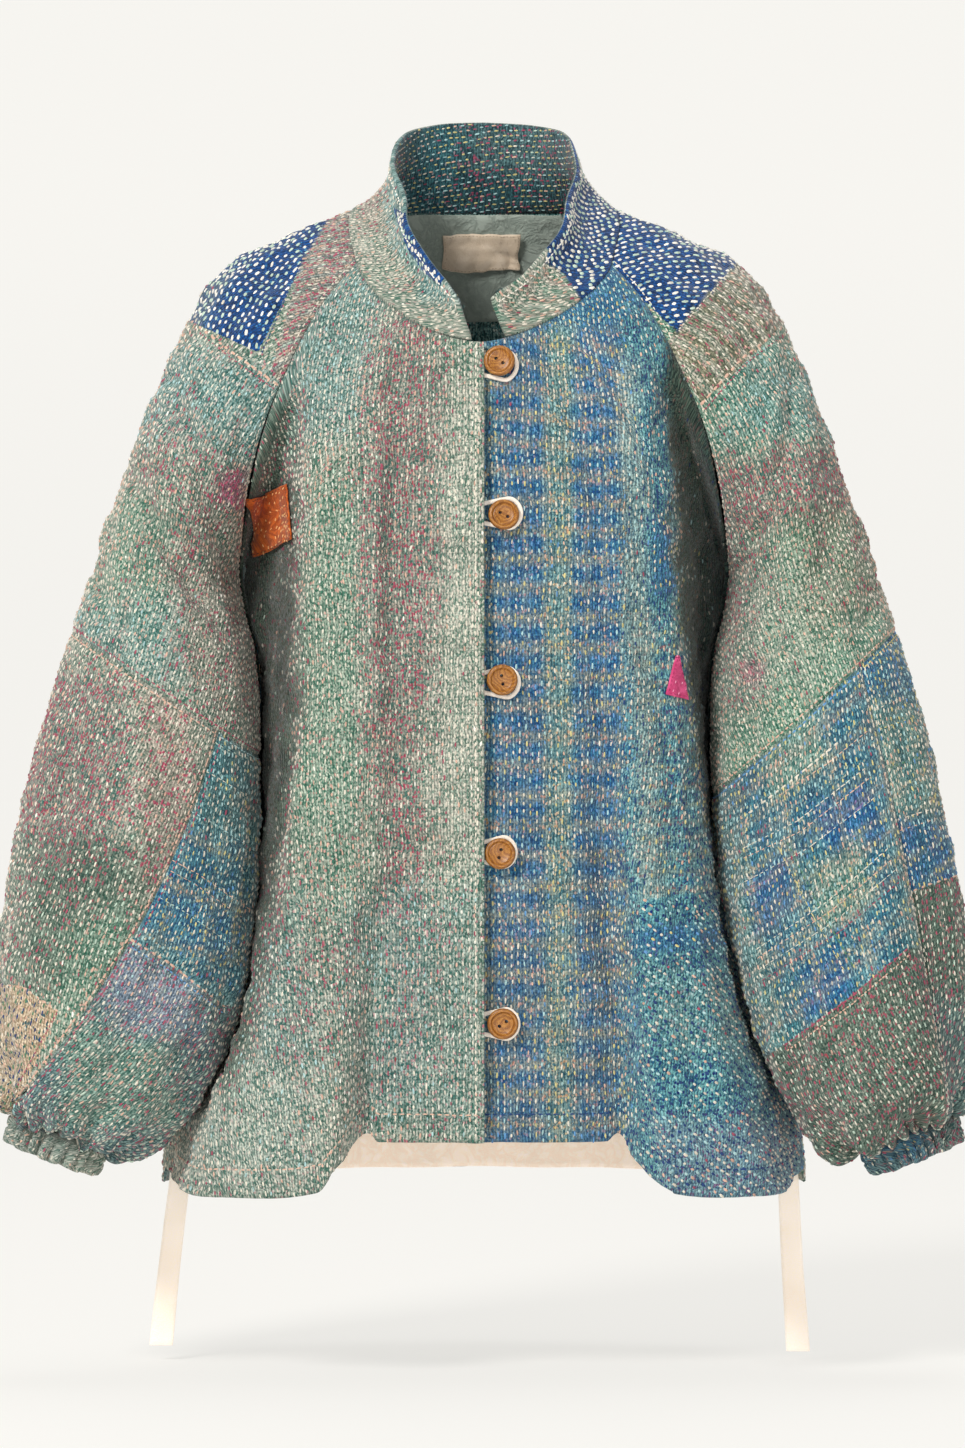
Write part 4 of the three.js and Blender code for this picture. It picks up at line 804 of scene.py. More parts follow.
# Zones as they show in the picture, in its pixels
designs = {
    "front_right": dict(base="sage", zones=[
        dict(yarn="teal", outline=[(285, 250), (400, 240), (360, 420), (270, 460)], soft=26, strength=0.6),
        dict(yarn="green", outline=[(285, 470), (365, 480), (368, 900), (300, 960), (272, 700)], soft=20,
             strength=0.5),
        dict(yarn="paleSage", outline=[(420, 400), (476, 380), (480, 840), (430, 860)], soft=20,
             strength=0.9),
        dict(yarn="rose", outline=[(392, 300), (436, 330), (440, 560), (420, 780), (428, 960), (420, 1090),
                                   (378, 1090), (382, 860), (368, 700), (362, 520), (372, 380)],
             soft=15, strength=0.88),
        dict(yarn="rose", outline=[(268, 850), (330, 860), (350, 1000), (320, 1110), (268, 1120), (240, 960)],
             soft=22, strength=0.4),
        dict(yarn="teal", outline=[(340, 900), (480, 880), (480, 1130), (350, 1130)], soft=30, strength=0.4),
        dict(yarn="teal", outline=[(200, 960), (300, 900), (330, 1190), (180, 1190)], soft=30, strength=0.45),
        dict(yarn="paleSage", outline=[(150, 1040), (345, 1070), (345, 1200), (140, 1190)], soft=24,
             strength=0.4),
        # the valley where this front turns back behind the sleeve: mossDark is partly the cloth's own dark
        # moss and partly painted shade, and shade is painted shade
        dict(yarn="mossDark", outline=[(190, 400), (300, 400), (302, 700), (282, 900), (240, 1080),
                                       (170, 1080)], soft=16, strength=0.8),
        dict(yarn="shade", outline=[(190, 500), (294, 480), (296, 700), (273, 880), (232, 1060), (170, 1060)],
             soft=10, strength=0.9), dict(yarn="rose", columns=(58, 9, 30, 5), strength=0.3),
        dict(yarn="mossDark", rows=(63, 7, 12, 4), strength=0.22),
    ]),
    "front_left": dict(base="blue", zones=[
        dict(yarn="teal", outline=[(480, 330), (560, 330), (560, 440), (480, 440)], soft=24, strength=0.4),
        dict(yarn="deepBlue", outline=[(498, 330), (546, 330), (546, 1180), (494, 1180)], soft=8,
             strength=0.8),
        dict(yarn="deepBlue", outline=[(574, 330), (618, 330), (618, 1180), (574, 1180)], soft=9,
             strength=0.75),
        dict(yarn="green", outline=[(546, 330), (572, 330), (572, 1180), (546, 1180)], soft=7, strength=0.5),
        dict(yarn="tan", outline=[(480, 330), (632, 330), (640, 1180), (480, 1180)],
             rows=(19.65, 8, 5.4, 3.6), soft=12, strength=0.6),
        dict(yarn="tan", outline=[(480, 330), (632, 330), (640, 1180), (480, 1180)], columns=(13.5, 4, 9, 2),
             soft=12, strength=0.3),
        dict(yarn="tan", outline=[(480, 880), (632, 880), (640, 1180), (480, 1180)],
             columns=(13.5, 4, 2, 1.5), soft=14, strength=0.4),
        dict(yarn="speckle", outline=[(626, 300), (790, 360), (790, 1200), (626, 1200)], soft=12,
             strength=0.95),
        dict(yarn="paleSage", outline=[(616, 360), (640, 360), (652, 640), (664, 900), (640, 900),
                                       (628, 640)], soft=9, strength=0.4),
        dict(yarn="tan", outline=[(640, 600), (700, 640), (730, 900), (640, 940)], rows=(11.5, 4, 3, 2),
             soft=14, strength=0.55),
        dict(yarn="deepBlue", outline=[(650, 520), (680, 530), (684, 600), (650, 600)], soft=9, strength=0.7),
        dict(yarn="deepBlue", outline=[(630, 930), (790, 915), (790, 940), (630, 955)], soft=5, strength=0.7),
        dict(yarn="deepBlue", outline=[(630, 985), (720, 1030), (790, 1110), (700, 1120), (630, 1060)],
             soft=12, strength=0.3),
        dict(yarn="roseTan", outline=[(735, 930), (750, 930), (770, 1080), (745, 1080)], soft=8,
             strength=0.5),
        dict(yarn="lavender", outline=[(660, 1120), (800, 1120), (800, 1210), (660, 1200)], soft=16,
             strength=0.5),
        # the valley where this front turns back behind the sleeve: green and deepTeal are partly the cloth's
        # own colour and partly painted shade, and shade is painted shade
        dict(yarn="green", outline=[(672, 330), (700, 345), (706, 640), (676, 640)], soft=8, strength=0.75),
        dict(yarn="deepTeal", outline=[(672, 470), (700, 500), (722, 700), (745, 900), (728, 900),
                                       (690, 700)], soft=10, strength=0.6),
        dict(yarn="shade", outline=[(664, 340), (700, 345), (760, 520), (800, 1090), (782, 1090), (742, 960),
                                    (724, 900), (706, 800),
                                    (690, 700), (680, 600), (674, 500), (668, 430)], soft=9, strength=0.92),
    ], patches=[
        dict(yarn="speckle", outline=[(640, 900), (800, 880), (800, 1210), (640, 1210)],
             lattice=dict(across=4.9, along=5.0, turn=0.95, long=2.9, wide=2.1), zones=[
                 dict(yarn="deepBlue", outline=[(630, 930), (790, 915), (790, 940), (630, 955)], soft=5,
                      strength=0.7),
                 dict(yarn="teal", outline=[(640, 960), (740, 990), (760, 1060), (650, 1040)], soft=18,
                      strength=0.5),
                 dict(yarn="lavender", outline=[(660, 1120), (800, 1120), (800, 1210), (660, 1200)], soft=16,
                      strength=0.4)]),
    ]),
    "sleeve_upper_right": dict(base="sage", zones=[
        dict(yarn="teal", outline=[(150, 330), (290, 380), (280, 470), (120, 430)], soft=24, strength=0.7),
        dict(yarn="rose", outline=[(165, 400), (215, 420), (250, 500), (205, 560), (120, 600), (140, 470)],
             soft=22, strength=0.5),
        dict(yarn="magenta", outline=[(216, 468), (246, 472), (242, 506), (218, 500)], soft=9, strength=0.6),
        dict(yarn="green", outline=[(90, 480), (170, 500), (160, 640), (70, 620)], soft=22, strength=0.7),
        dict(yarn="teal", outline=[(60, 600), (180, 600), (190, 690), (60, 660)], soft=22, strength=0.5),
        dict(yarn="roseTan", outline=[(170, 560), (260, 560), (270, 740), (180, 690)], soft=22,
             strength=0.35), dict(yarn="rose", columns=(44, 10, 4, 6), strength=0.3),
    ], patches=[
        dict(yarn="cobalt",
             outline=[(150, 330), (215, 262), (296, 200), (330, 215), (302, 262), (258, 352), (184, 318)],
             lattice=dict(across=5.2, along=6.8, turn=0.6, long=4.0, wide=2.4),
             zones=[dict(yarn="slate", outline=[(170, 200), (235, 250), (200, 330), (150, 330)], soft=16,
                         strength=0.5)]),
        dict(yarn="roseTan", outline=[(302, 262), (330, 215), (420, 200), (300, 400), (270, 372)],
             zones=[dict(yarn="slate", columns=(9, 4, 1, 2), strength=0.6)]),
    ], seams=[
        dict(line=[(152, 322), (188, 318), (232, 352), (288, 392)], thread="peach", size=(4.2, 2.1)),
        dict(line=[(152, 326), (188, 323), (230, 357), (284, 396)], thread="rose", size=(2.2, 1.2)),
        dict(line=[(262, 352), (300, 264)], thread="navy", size=(2.6, 1.2)),
    ]),
    "sleeve_upper_left": dict(base="green", zones=[
        dict(yarn="teal", outline=[(740, 350), (850, 360), (840, 440), (720, 440)], soft=24, strength=0.6),
        dict(yarn="rose", outline=[(700, 470), (770, 440), (880, 450), (870, 500), (740, 540), (700, 560)],
             soft=18, strength=0.9),
        dict(yarn="rose", outline=[(705, 540), (760, 540), (770, 700), (720, 720)], soft=20, strength=0.65),
        dict(yarn="olive", outline=[(790, 500), (880, 500), (890, 600), (800, 640)], soft=24, strength=0.5),
        dict(yarn="paleSage", outline=[(740, 560), (830, 560), (820, 680), (740, 700)], soft=26,
             strength=0.3),
        dict(yarn="magenta", outline=[(745, 660), (765, 664), (760, 684), (744, 680)], soft=6, strength=0.35),
        dict(yarn="rose", columns=(47, 9, 8, 5), strength=0.3),
    ], patches=[
        dict(yarn="cobalt", outline=[(590, 200), (690, 220), (737, 262), (676, 330), (610, 270)],
             lattice=dict(across=5.2, along=6.8, turn=-0.6, long=4.0, wide=2.4)),
        dict(yarn="olive", outline=[(737, 262), (800, 250), (830, 320), (786, 322), (702, 404), (664, 345),
                                    (676, 330)],
             zones=[dict(yarn="paleSage", columns=(13, 6, 2, 2), strength=0.6)]),
    ], seams=[
        dict(line=[(815, 320), (786, 325), (742, 358), (703, 402)], thread="peach", size=(4.4, 2.2)),
        dict(line=[(815, 326), (788, 331), (745, 364), (706, 408)], thread="rose", size=(2.4, 1.3)),
        dict(line=[(735, 265), (680, 328)], thread="cream", size=(2.6, 1.3)),
    ]),
    "sleeve_outer_right": dict(base="sage", zones=[
        dict(yarn="rose", outline=[(50, 660), (130, 680), (130, 860), (50, 910), (10, 800)], soft=22,
             strength=0.9),
        dict(yarn="roseTan", outline=[(140, 680), (196, 700), (190, 850), (130, 920)], soft=16,
             strength=0.75),
        dict(yarn="mossDark", outline=[(20, 840), (160, 840), (130, 1000), (10, 990)], soft=30,
             strength=0.75),
        dict(yarn="green", outline=[(70, 930), (140, 900), (90, 1050), (40, 1050)], soft=20, strength=0.6),
    ], patches=[
        dict(yarn="sand", outline=[(-40, 985), (20, 985), (58, 1012), (14, 1110), (-40, 1110)]),
    ], seams=[
        dict(line=[(2, 984), (24, 988), (56, 1010)], thread="peach", size=(3.6, 1.8)),
        dict(line=[(56, 1014), (30, 1062), (14, 1092)], thread="rose", size=(2.2, 1.2)),
    ]),
    "sleeve_inner_right": dict(base="teal", zones=[
        dict(yarn="deepTeal", outline=[(190, 720), (260, 740), (262, 860), (170, 830)], soft=24,
             strength=0.6),
        dict(yarn="blue", outline=[(150, 800), (250, 860), (240, 1000), (130, 930)], soft=22, strength=0.85),
        dict(yarn="tan", outline=[(150, 700), (262, 700), (262, 1000), (100, 1000)], rows=(36, 5, 4, 2),
             soft=14, strength=0.55),
        dict(yarn="tan", outline=[(150, 700), (262, 700), (262, 1000), (100, 1000)], columns=(31, 4, 12, 2),
             soft=14, strength=0.4),
        dict(yarn="deepTeal", outline=[(150, 700), (262, 700), (262, 1000), (100, 1000)],
             rows=(72, 30, 22, 6), soft=14, strength=0.35),
    ], patches=[
        dict(yarn="slate", outline=[(112, 926), (168, 962), (224, 1006), (300, 1010), (300, 1200), (0, 1200),
                                    (20, 1080), (60, 1000)], zones=[
                 dict(yarn="lavender", outline=[(110, 930), (190, 980), (200, 1040), (110, 1040)], soft=18,
                      strength=0.8),
                 dict(yarn="green", outline=[(60, 1010), (170, 1040), (180, 1130), (60, 1130)], soft=22,
                      strength=0.6), dict(yarn="rose", columns=(17, 4, 3, 2), strength=0.4)]),
    ], seams=[
        dict(line=[(112, 928), (168, 962), (224, 1006)], thread="peach", size=(4.0, 2.0)),
        dict(line=[(110, 934), (166, 968), (222, 1012)], thread="sky", size=(2.2, 1.2)),
        dict(line=[(190, 726), (224, 748), (258, 763)], thread="mint", size=(3.2, 1.0)),
        dict(line=[(186, 760), (222, 780), (257, 802)], thread="cream", size=(3.2, 0.9)),
        dict(line=[(170, 800), (215, 824), (254, 850)], thread="cyan", size=(3.2, 0.9)),
        dict(line=[(150, 848), (198, 874), (248, 908)], thread="peach", size=(3.4, 1.1)),
        dict(line=[(149, 859), (195, 884), (246, 920)], thread="peach", size=(3.4, 0.9)),
        dict(line=[(140, 886), (185, 912), (240, 950)], thread="mint", size=(3.2, 0.9)),
    ]),
    "sleeve_outer_left": dict(base="blue", zones=[
        dict(yarn="green", outline=[(860, 700), (940, 700), (950, 840), (880, 830)], soft=18, strength=0.7),
        dict(yarn="deepBlue", outline=[(870, 820), (970, 820), (970, 880), (880, 890)], soft=12,
             strength=0.9),
        dict(yarn="tan", outline=[(850, 640), (980, 640), (980, 880), (860, 900)], rows=(22, 5, 4, 2.5),
             soft=10, strength=0.6),
        dict(yarn="deepTeal", outline=[(850, 640), (980, 640), (980, 880), (860, 900)],
             columns=(30, 11, 12, 4), soft=10, strength=0.4),
    ], patches=[
        dict(yarn="mossDark", outline=[(890, 900), (903, 895), (965, 872), (1010, 872), (1010, 1200),
                                       (890, 1200), (900, 1000)], zones=[
                 dict(yarn="rose", columns=(13, 5, 3, 2), strength=0.5),
                 dict(yarn="slate", outline=[(900, 1000), (1000, 1000), (1000, 1200), (900, 1200)], soft=20,
                      strength=0.6)]),
    ], seams=[
        dict(line=[(900, 896), (930, 884), (962, 874)], thread="peach", size=(3.6, 1.8)),
        dict(line=[(874, 731), (917, 716)], thread="yellow", size=(3.0, 1.0)),
        dict(line=[(870, 712), (903, 697)], thread="cream", size=(3.0, 1.0)),
        dict(line=[(884, 770), (930, 752)], thread="green", size=(3.2, 1.2)),
        dict(line=[(893, 821), (948, 804)], thread="cream", size=(3.2, 1.1)),
        dict(line=[(895, 832), (950, 814)], thread="peach", size=(3.2, 1.0)),
    ]),
    "sleeve_inner_left": dict(base="deepTeal", zones=[
        dict(yarn="teal", columns=(44, 22, 4, 6), strength=0.7),
        dict(yarn="blue", outline=[(720, 760), (900, 640), (900, 980), (790, 1020)], soft=16, strength=0.5),
        dict(yarn="deepBlue", outline=[(806, 806), (866, 782), (884, 828), (838, 868)], soft=5),
        dict(yarn="deepBlue", outline=[(741, 886), (783, 858), (800, 900), (756, 936)], soft=5, strength=0.9),
        dict(yarn="deepBlue", outline=[(797, 968), (842, 944), (852, 990), (806, 1024)], soft=5,
             strength=0.9),
        dict(yarn="green", outline=[(750, 720), (810, 700), (830, 760), (770, 800)], soft=12, strength=0.7),
        dict(yarn="green", outline=[(800, 870), (860, 840), (880, 900), (820, 930)], soft=12, strength=0.7),
        dict(yarn="tan", outline=[(700, 600), (960, 600), (960, 1040), (700, 1040)], rows=(31, 6, 4, 2),
             soft=10, strength=0.45),
        dict(yarn="roseTan", outline=[(700, 600), (960, 600), (960, 1040), (700, 1040)], rows=(31, 5, 15, 2),
             soft=10, strength=0.35),
        dict(yarn="tan", outline=[(700, 600), (960, 600), (960, 1040), (700, 1040)], columns=(41, 4, 14, 1.6),
             soft=10, strength=0.5),
    ], patches=[
        dict(yarn="mossDark", outline=[(700, 1100), (788, 1042), (850, 996), (908, 948), (1000, 948),
                                       (1000, 1200), (700, 1200)], zones=[
                 dict(yarn="rose", rows=(12, 5, 3, 2.5), strength=0.45),
                 dict(yarn="sage", outline=[(800, 1040), (900, 1000), (880, 1140), (820, 1140)], soft=22,
                      strength=0.2)]),
    ], seams=[
        dict(line=[(786, 1044), (850, 998), (906, 950)], thread="rose", size=(3.4, 1.7)),
        dict(line=[(788, 1050), (852, 1004), (908, 956)], thread="peach", size=(2.4, 1.3)),
        dict(line=[(731, 854), (797, 821), (864, 769)], thread="cream", size=(3.4, 1.0)),
        dict(line=[(733, 863), (801, 831), (868, 779)], thread="peach", size=(3.4, 1.0)),
        dict(line=[(740, 884), (808, 848), (874, 798)], thread="cream", size=(3.2, 0.8)),
        dict(line=[(758, 948), (828, 901), (886, 850)], thread="cream", size=(3.4, 1.0)),
        dict(line=[(759, 957), (832, 910), (890, 861)], thread="peach", size=(3.4, 1.0)),
        dict(line=[(761, 968), (835, 921), (894, 871)], thread="cream", size=(3.2, 0.8)),
        dict(line=[(764, 979), (839, 932), (898, 883)], thread="rose", size=(3.2, 0.9)),
        dict(line=[(781, 794), (828, 763), (866, 732)], thread="peach", size=(3.2, 1.0)),
        dict(line=[(750, 812), (792, 780), (836, 744)], thread="cream", size=(4.0, 1.8)),
        dict(line=[(779, 848), (812, 914), (843, 968)], thread="yellow", size=(3.2, 1.0)),
        dict(line=[(788, 844), (821, 910), (852, 964)], thread="green", size=(3.2, 1.2)),
    ]),
    # the back doesn't show in the picture: the same cloths in a layout of its own, by millimetres of cloth
    "back": dict(base="teal", byCloth=True, zones=[
        dict(yarn="green", outline=[(-60, -440), (120, -440), (110, 60), (-50, 60)], soft=26, strength=0.8),
        dict(yarn="rose", outline=[(-20, -440), (22, -440), (26, 30), (-24, 30)], soft=14, strength=0.85),
        dict(yarn="paleSage", outline=[(40, -300), (110, -300), (120, -80), (30, -80)], soft=26,
             strength=0.8),
        dict(yarn="blue", outline=[(-330, -440), (-90, -440), (-80, -40), (-330, -40)], soft=16,
             strength=0.9),
        dict(yarn="tan", outline=[(-330, -440), (-90, -440), (-80, -40), (-330, -40)], rows=(38.8, 14, 6, 4),
             columns=(32, 12, 5, 4), soft=14, strength=0.8),
        dict(yarn="tan", outline=[(-330, -440), (-90, -440), (-80, -40), (-330, -40)], rows=(38.8, 14, 6, 4),
             soft=14, strength=0.35),
        dict(yarn="sage", outline=[(150, -440), (340, -440), (330, 100), (140, 100)], soft=24, strength=0.85),
        dict(yarn="rose", columns=(61, 9, 13, 5), strength=0.3),
        dict(yarn="slate", outline=[(-200, 40), (-60, 60), (-40, 260), (-200, 260)], soft=22, strength=0.6),
    ], patches=[
        dict(yarn="cobalt", outline=[(60, 70), (150, 95), (128, 190), (48, 160)],
             lattice=dict(across=5.2, along=6.8, turn=0.5, long=4.0, wide=2.4)),
        dict(yarn="olive", outline=[(-150, -20), (-62, -6), (-70, 78), (-160, 70)]),
        dict(yarn="sand", outline=[(200, -330), (262, -318), (256, -262), (196, -270)]),
        dict(yarn="slate", outline=[(-400, -500), (-60, -500), (-64, -352), (-400, -338)],
             zones=[dict(yarn="rose", rows=(13, 5, 3, 2.5), strength=0.4)]),
    ], seams=[
        dict(line=[(-300, -340), (-180, -346), (-64, -352), (-60, -430)], thread="peach", size=(4.0, 2.0)),
        dict(line=[(48, 160), (60, 70), (150, 95), (128, 190), (48, 160)], thread="peach", size=(3.4, 1.6)),
        dict(line=[(-150, -20), (-62, -6), (-70, 78), (-160, 70), (-150, -20)], thread="rose",
             size=(3.2, 1.5)),
    ]),
}

# Kantha: two or three layers of worn cotton, woven of space-dyed yarn and quilted by hand. The eye sees a
# heathered ground with fine ribs, flecks of other yarn, and soft puckers between the stitches. It is matt,
# with a little nap from washing. Real threads are 0.4 mm apart, drawn here 2 mm apart so that they show.
kantha = dict(rib=2.15, weft=1.9, slubWide=0.95, slubLong=1.5, fleckWide=1.6, fleckLong=2.1, pucker=6.0,
              sheen=0.22, bump=0.55, bumpDepth=0.0011)


def kanthaCotton(name):
    material = bpy.data.materials.new(name)
    material.use_nodes = True
    tree = material.node_tree
    shader = tree.nodes["Principled BSDF"]
    place = addNode(tree, "ShaderNodeAttribute", attribute_name="clothMm").outputs["Vector"]
    drift = addNode(tree, "ShaderNodeTexNoise", {"Vector": place, "Scale": 0.09, "Detail": 1.0})
    slip = addNode(tree, "ShaderNodeVectorMath", {0: drift.outputs["Color"], 1: (0.5, 0.5, 0.5)},
                   operation="SUBTRACT")
    slipMm = addNode(tree, "ShaderNodeVectorMath", {0: slip.outputs[0], "Scale": 3.2}, operation="SCALE")
    yarnPlace = addNode(tree, "ShaderNodeVectorMath", {0: place, 1: slipMm.outputs[0]},
                        operation="ADD").outputs[0]
    split = addNode(tree, "ShaderNodeSeparateXYZ", {0: yarnPlace})

    def attribute(label):
        return addNode(tree, "ShaderNodeAttribute", attribute_name=label)

    ragged = addNode(tree, "ShaderNodeTexNoise", {"Vector": place, "Scale": 0.45, "Detail": 2.0})
    raggedMm = addNode(tree, "ShaderNodeMath", {0: ragged.outputs[0], 1: 3.0, 2: -1.5},
                       operation="MULTIPLY_ADD")
    edge = addNode(tree, "ShaderNodeMath", {0: attribute("patchEdge").outputs["Fac"], 1: raggedMm.outputs[0]},
                   operation="ADD")
    isPatch = addNode(tree, "ShaderNodeMath", {0: edge.outputs[0], 1: 0.0},
                      operation="GREATER_THAN").outputs[0]

    def shade(plain, patched):
        return addNode(tree, "ShaderNodeMix", {0: isPatch, 6: attribute(plain).outputs["Color"],
                                               7: attribute(patched).outputs["Color"]},
                       data_type="RGBA").outputs[2]

    dark, light, fleckColour = (shade(a, "patch" + a[0].upper() + a[1:]) for a in ("dark", "light", "fleck"))
    share = addNode(tree, "ShaderNodeMix", {0: isPatch, 2: attribute("fleckShare").outputs["Fac"],
                                            3: attribute("patchShare").outputs["Fac"]},
                    data_type="FLOAT").outputs[0]

    # each float of yarn is its own shade: salt and pepper up close, one soft colour from afar
    def floats(wide, long, jitter):
        scaled = addNode(tree, "ShaderNodeVectorMath", {0: yarnPlace, 1: (1 / wide, 1 / long, 1)},
                         operation="MULTIPLY")
        cells = addNode(tree, "ShaderNodeTexVoronoi",
                        {"Vector": scaled.outputs[0], "Scale": 1.0, "Randomness": jitter})
        return cells, addNode(tree, "ShaderNodeSeparateColor", {0: cells.outputs["Color"]})

    small, smallChance = floats(kantha["slubWide"], kantha["slubLong"], 0.9)
    patchy = addNode(tree, "ShaderNodeTexNoise",
                     {"Vector": place, "Scale": 0.07, "Detail": 4.0, "Roughness": 0.6})
    lean = addNode(tree, "ShaderNodeMath", {0: patchy.outputs[0], 1: 0.9, 2: -0.45}, operation="MULTIPLY_ADD")
    shadeOf = addNode(tree, "ShaderNodeMath", {0: smallChance.outputs[0], 1: lean.outputs[0]},
                      operation="ADD")
    level = addNode(tree, "ShaderNodeMapRange", {0: shadeOf.outputs[0], 1: 0.1, 2: 0.9})
    ground = addNode(tree, "ShaderNodeMix", {0: level.outputs[0], 6: dark, 7: light}, data_type="RGBA")

    large, largeChance = floats(kantha["fleckWide"], kantha["fleckLong"], 0.8)
    isFleck = addNode(tree, "ShaderNodeMath", {0: largeChance.outputs[0], 1: share}, operation="LESS_THAN")
    body = addNode(tree, "ShaderNodeMapRange", {0: large.outputs["Distance"], 1: 0.62, 2: 0.42})
    fleckMask = addNode(tree, "ShaderNodeMath", {0: isFleck.outputs[0], 1: body.outputs[0]},
                        operation="MULTIPLY")
    flecked = addNode(tree, "ShaderNodeMix", {0: fleckMask.outputs[0], 6: ground.outputs[2], 7: fleckColour},
                      data_type="RGBA")
    # painted shade: each float is darker towards its edges, where it sinks between its neighbours in the bump
    sunk = addNode(tree, "ShaderNodeMapRange",
                   {0: small.outputs["Distance"], 1: 0.25, 2: 0.75, 3: 1.1, 4: 0.66})
    flecked = addNode(tree, "ShaderNodeMix", {0: 1.0, 6: flecked.outputs[2], 7: sunk.outputs[0]},
                      data_type="RGBA", blend_type="MULTIPLY")

    # a rib of warp every 2 mm, with painted shade darkening its groove
    ribTurn = addNode(tree, "ShaderNodeMath", {0: split.outputs[0], 1: 2 * math.pi / kantha["rib"]},
                      operation="MULTIPLY")
    rib = addNode(tree, "ShaderNodeMath", {0: ribTurn.outputs[0]}, operation="COSINE")
    weftTurn = addNode(tree, "ShaderNodeMath", {0: split.outputs[1], 1: 2 * math.pi / kantha["weft"]},
                       operation="MULTIPLY")
    pick = addNode(tree, "ShaderNodeMath", {0: weftTurn.outputs[0]}, operation="COSINE")
    weave = addNode(tree, "ShaderNodeMath", {0: pick.outputs[0], 1: 0.35, 2: rib.outputs[0]},
                    operation="MULTIPLY_ADD")
    grooveShade = addNode(tree, "ShaderNodeMapRange", {0: weave.outputs[0], 1: -1.3, 2: 0.7, 3: 0.55, 4: 1.14})
    grooveShaded = addNode(tree, "ShaderNodeMix", {0: 1.0, 6: flecked.outputs[2], 7: grooveShade.outputs[0]},
                      data_type="RGBA", blend_type="MULTIPLY")
    worn = addNode(tree, "ShaderNodeTexNoise", {"Vector": place, "Scale": 0.018, "Detail": 3.0})
    fade = addNode(tree, "ShaderNodeMapRange", {0: worn.outputs[0], 1: 0.3, 2: 0.7, 3: 0.9, 4: 1.1})
    faded = addNode(tree, "ShaderNodeMix", {0: 1.0, 6: grooveShaded.outputs[2], 7: fade.outputs[0]},
                    data_type="RGBA", blend_type="MULTIPLY")
    tree.links.new(faded.outputs[2], shader.inputs["Base Color"])

    puckerPlace = addNode(tree, "ShaderNodeVectorMath", {0: yarnPlace, 1: (1 / 5.2, 1 / kantha["pucker"], 1)},
                          operation="MULTIPLY")
    pucker = addNode(tree, "ShaderNodeTexNoise",
                     {"Vector": puckerPlace.outputs[0], "Scale": 1.0, "Detail": 1.0})
    height = addNode(tree, "ShaderNodeMath", {0: weave.outputs[0], 1: 0.22, 2: sunk.outputs[0]},
                     operation="MULTIPLY_ADD")
    height2 = addNode(tree, "ShaderNodeMath", {0: pucker.outputs[0], 1: 1.5, 2: height.outputs[0]},
                      operation="MULTIPLY_ADD")
    bump = addNode(tree, "ShaderNodeBump", {"Height": height2.outputs[0], "Strength": kantha["bump"],
                                            "Distance": kantha["bumpDepth"]})
    tree.links.new(bump.outputs[0], shader.inputs["Normal"])
    rough = addNode(tree, "ShaderNodeMapRange", {0: smallChance.outputs[1], 1: 0.0, 2: 1.0, 3: 0.97, 4: 0.84})
    tree.links.new(rough.outputs[0], shader.inputs["Roughness"])
    shader.inputs["Sheen Weight"].default_value = kantha["sheen"]
    shader.inputs["Sheen Roughness"].default_value = 0.5
    shader.inputs["Specular IOR Level"].default_value = 0.25
    return material


# Running stitch: soft two-ply cotton thread, matt, each stitch its own colour
def cottonThread():
    material = bpy.data.materials.new("cotton thread")
    material.use_nodes = True
    tree = material.node_tree
    shader = tree.nodes["Principled BSDF"]
    colour = addNode(tree, "ShaderNodeAttribute", attribute_name="threadColour")
    place = addNode(tree, "ShaderNodeTexCoord").outputs["Object"]
    fuzz = addNode(tree, "ShaderNodeTexNoise", {"Vector": place, "Scale": 900.0, "Detail": 2.0})
    tone = addNode(tree, "ShaderNodeMapRange", {0: fuzz.outputs[0], 1: 0.3, 2: 0.7, 3: 0.84, 4: 1.12})
    mixed = addNode(tree, "ShaderNodeMix", {0: 1.0, 6: colour.outputs["Color"], 7: tone.outputs[0]},
                    data_type="RGBA", blend_type="MULTIPLY")
    tree.links.new(mixed.outputs[2], shader.inputs["Base Color"])
    bump = addNode(tree, "ShaderNodeBump", {"Height": fuzz.outputs[0], "Strength": 0.3, "Distance": 0.0004})
    tree.links.new(bump.outputs[0], shader.inputs["Normal"])
    shader.inputs["Roughness"].default_value = 0.85
    shader.inputs["Sheen Weight"].default_value = 0.2
    return material


quilt, thread = kanthaCotton("kantha quilted cotton"), cottonThread()


def sampleGrid(values, gi, gj):
    i = np.clip(gi, 0, values.shape[0] - 1.001)
    j = np.clip(gj, 0, values.shape[1] - 1.001)
    i0, j0 = i.astype(int), j.astype(int)
    fi, fj = i - i0, j - j0
    if values.ndim == 3:
        fi, fj = fi[..., None], fj[..., None]
    return lerp(lerp(values[i0, j0], values[i0, j0 + 1], fj),
                lerp(values[i0 + 1, j0], values[i0 + 1, j0 + 1], fj), fi)


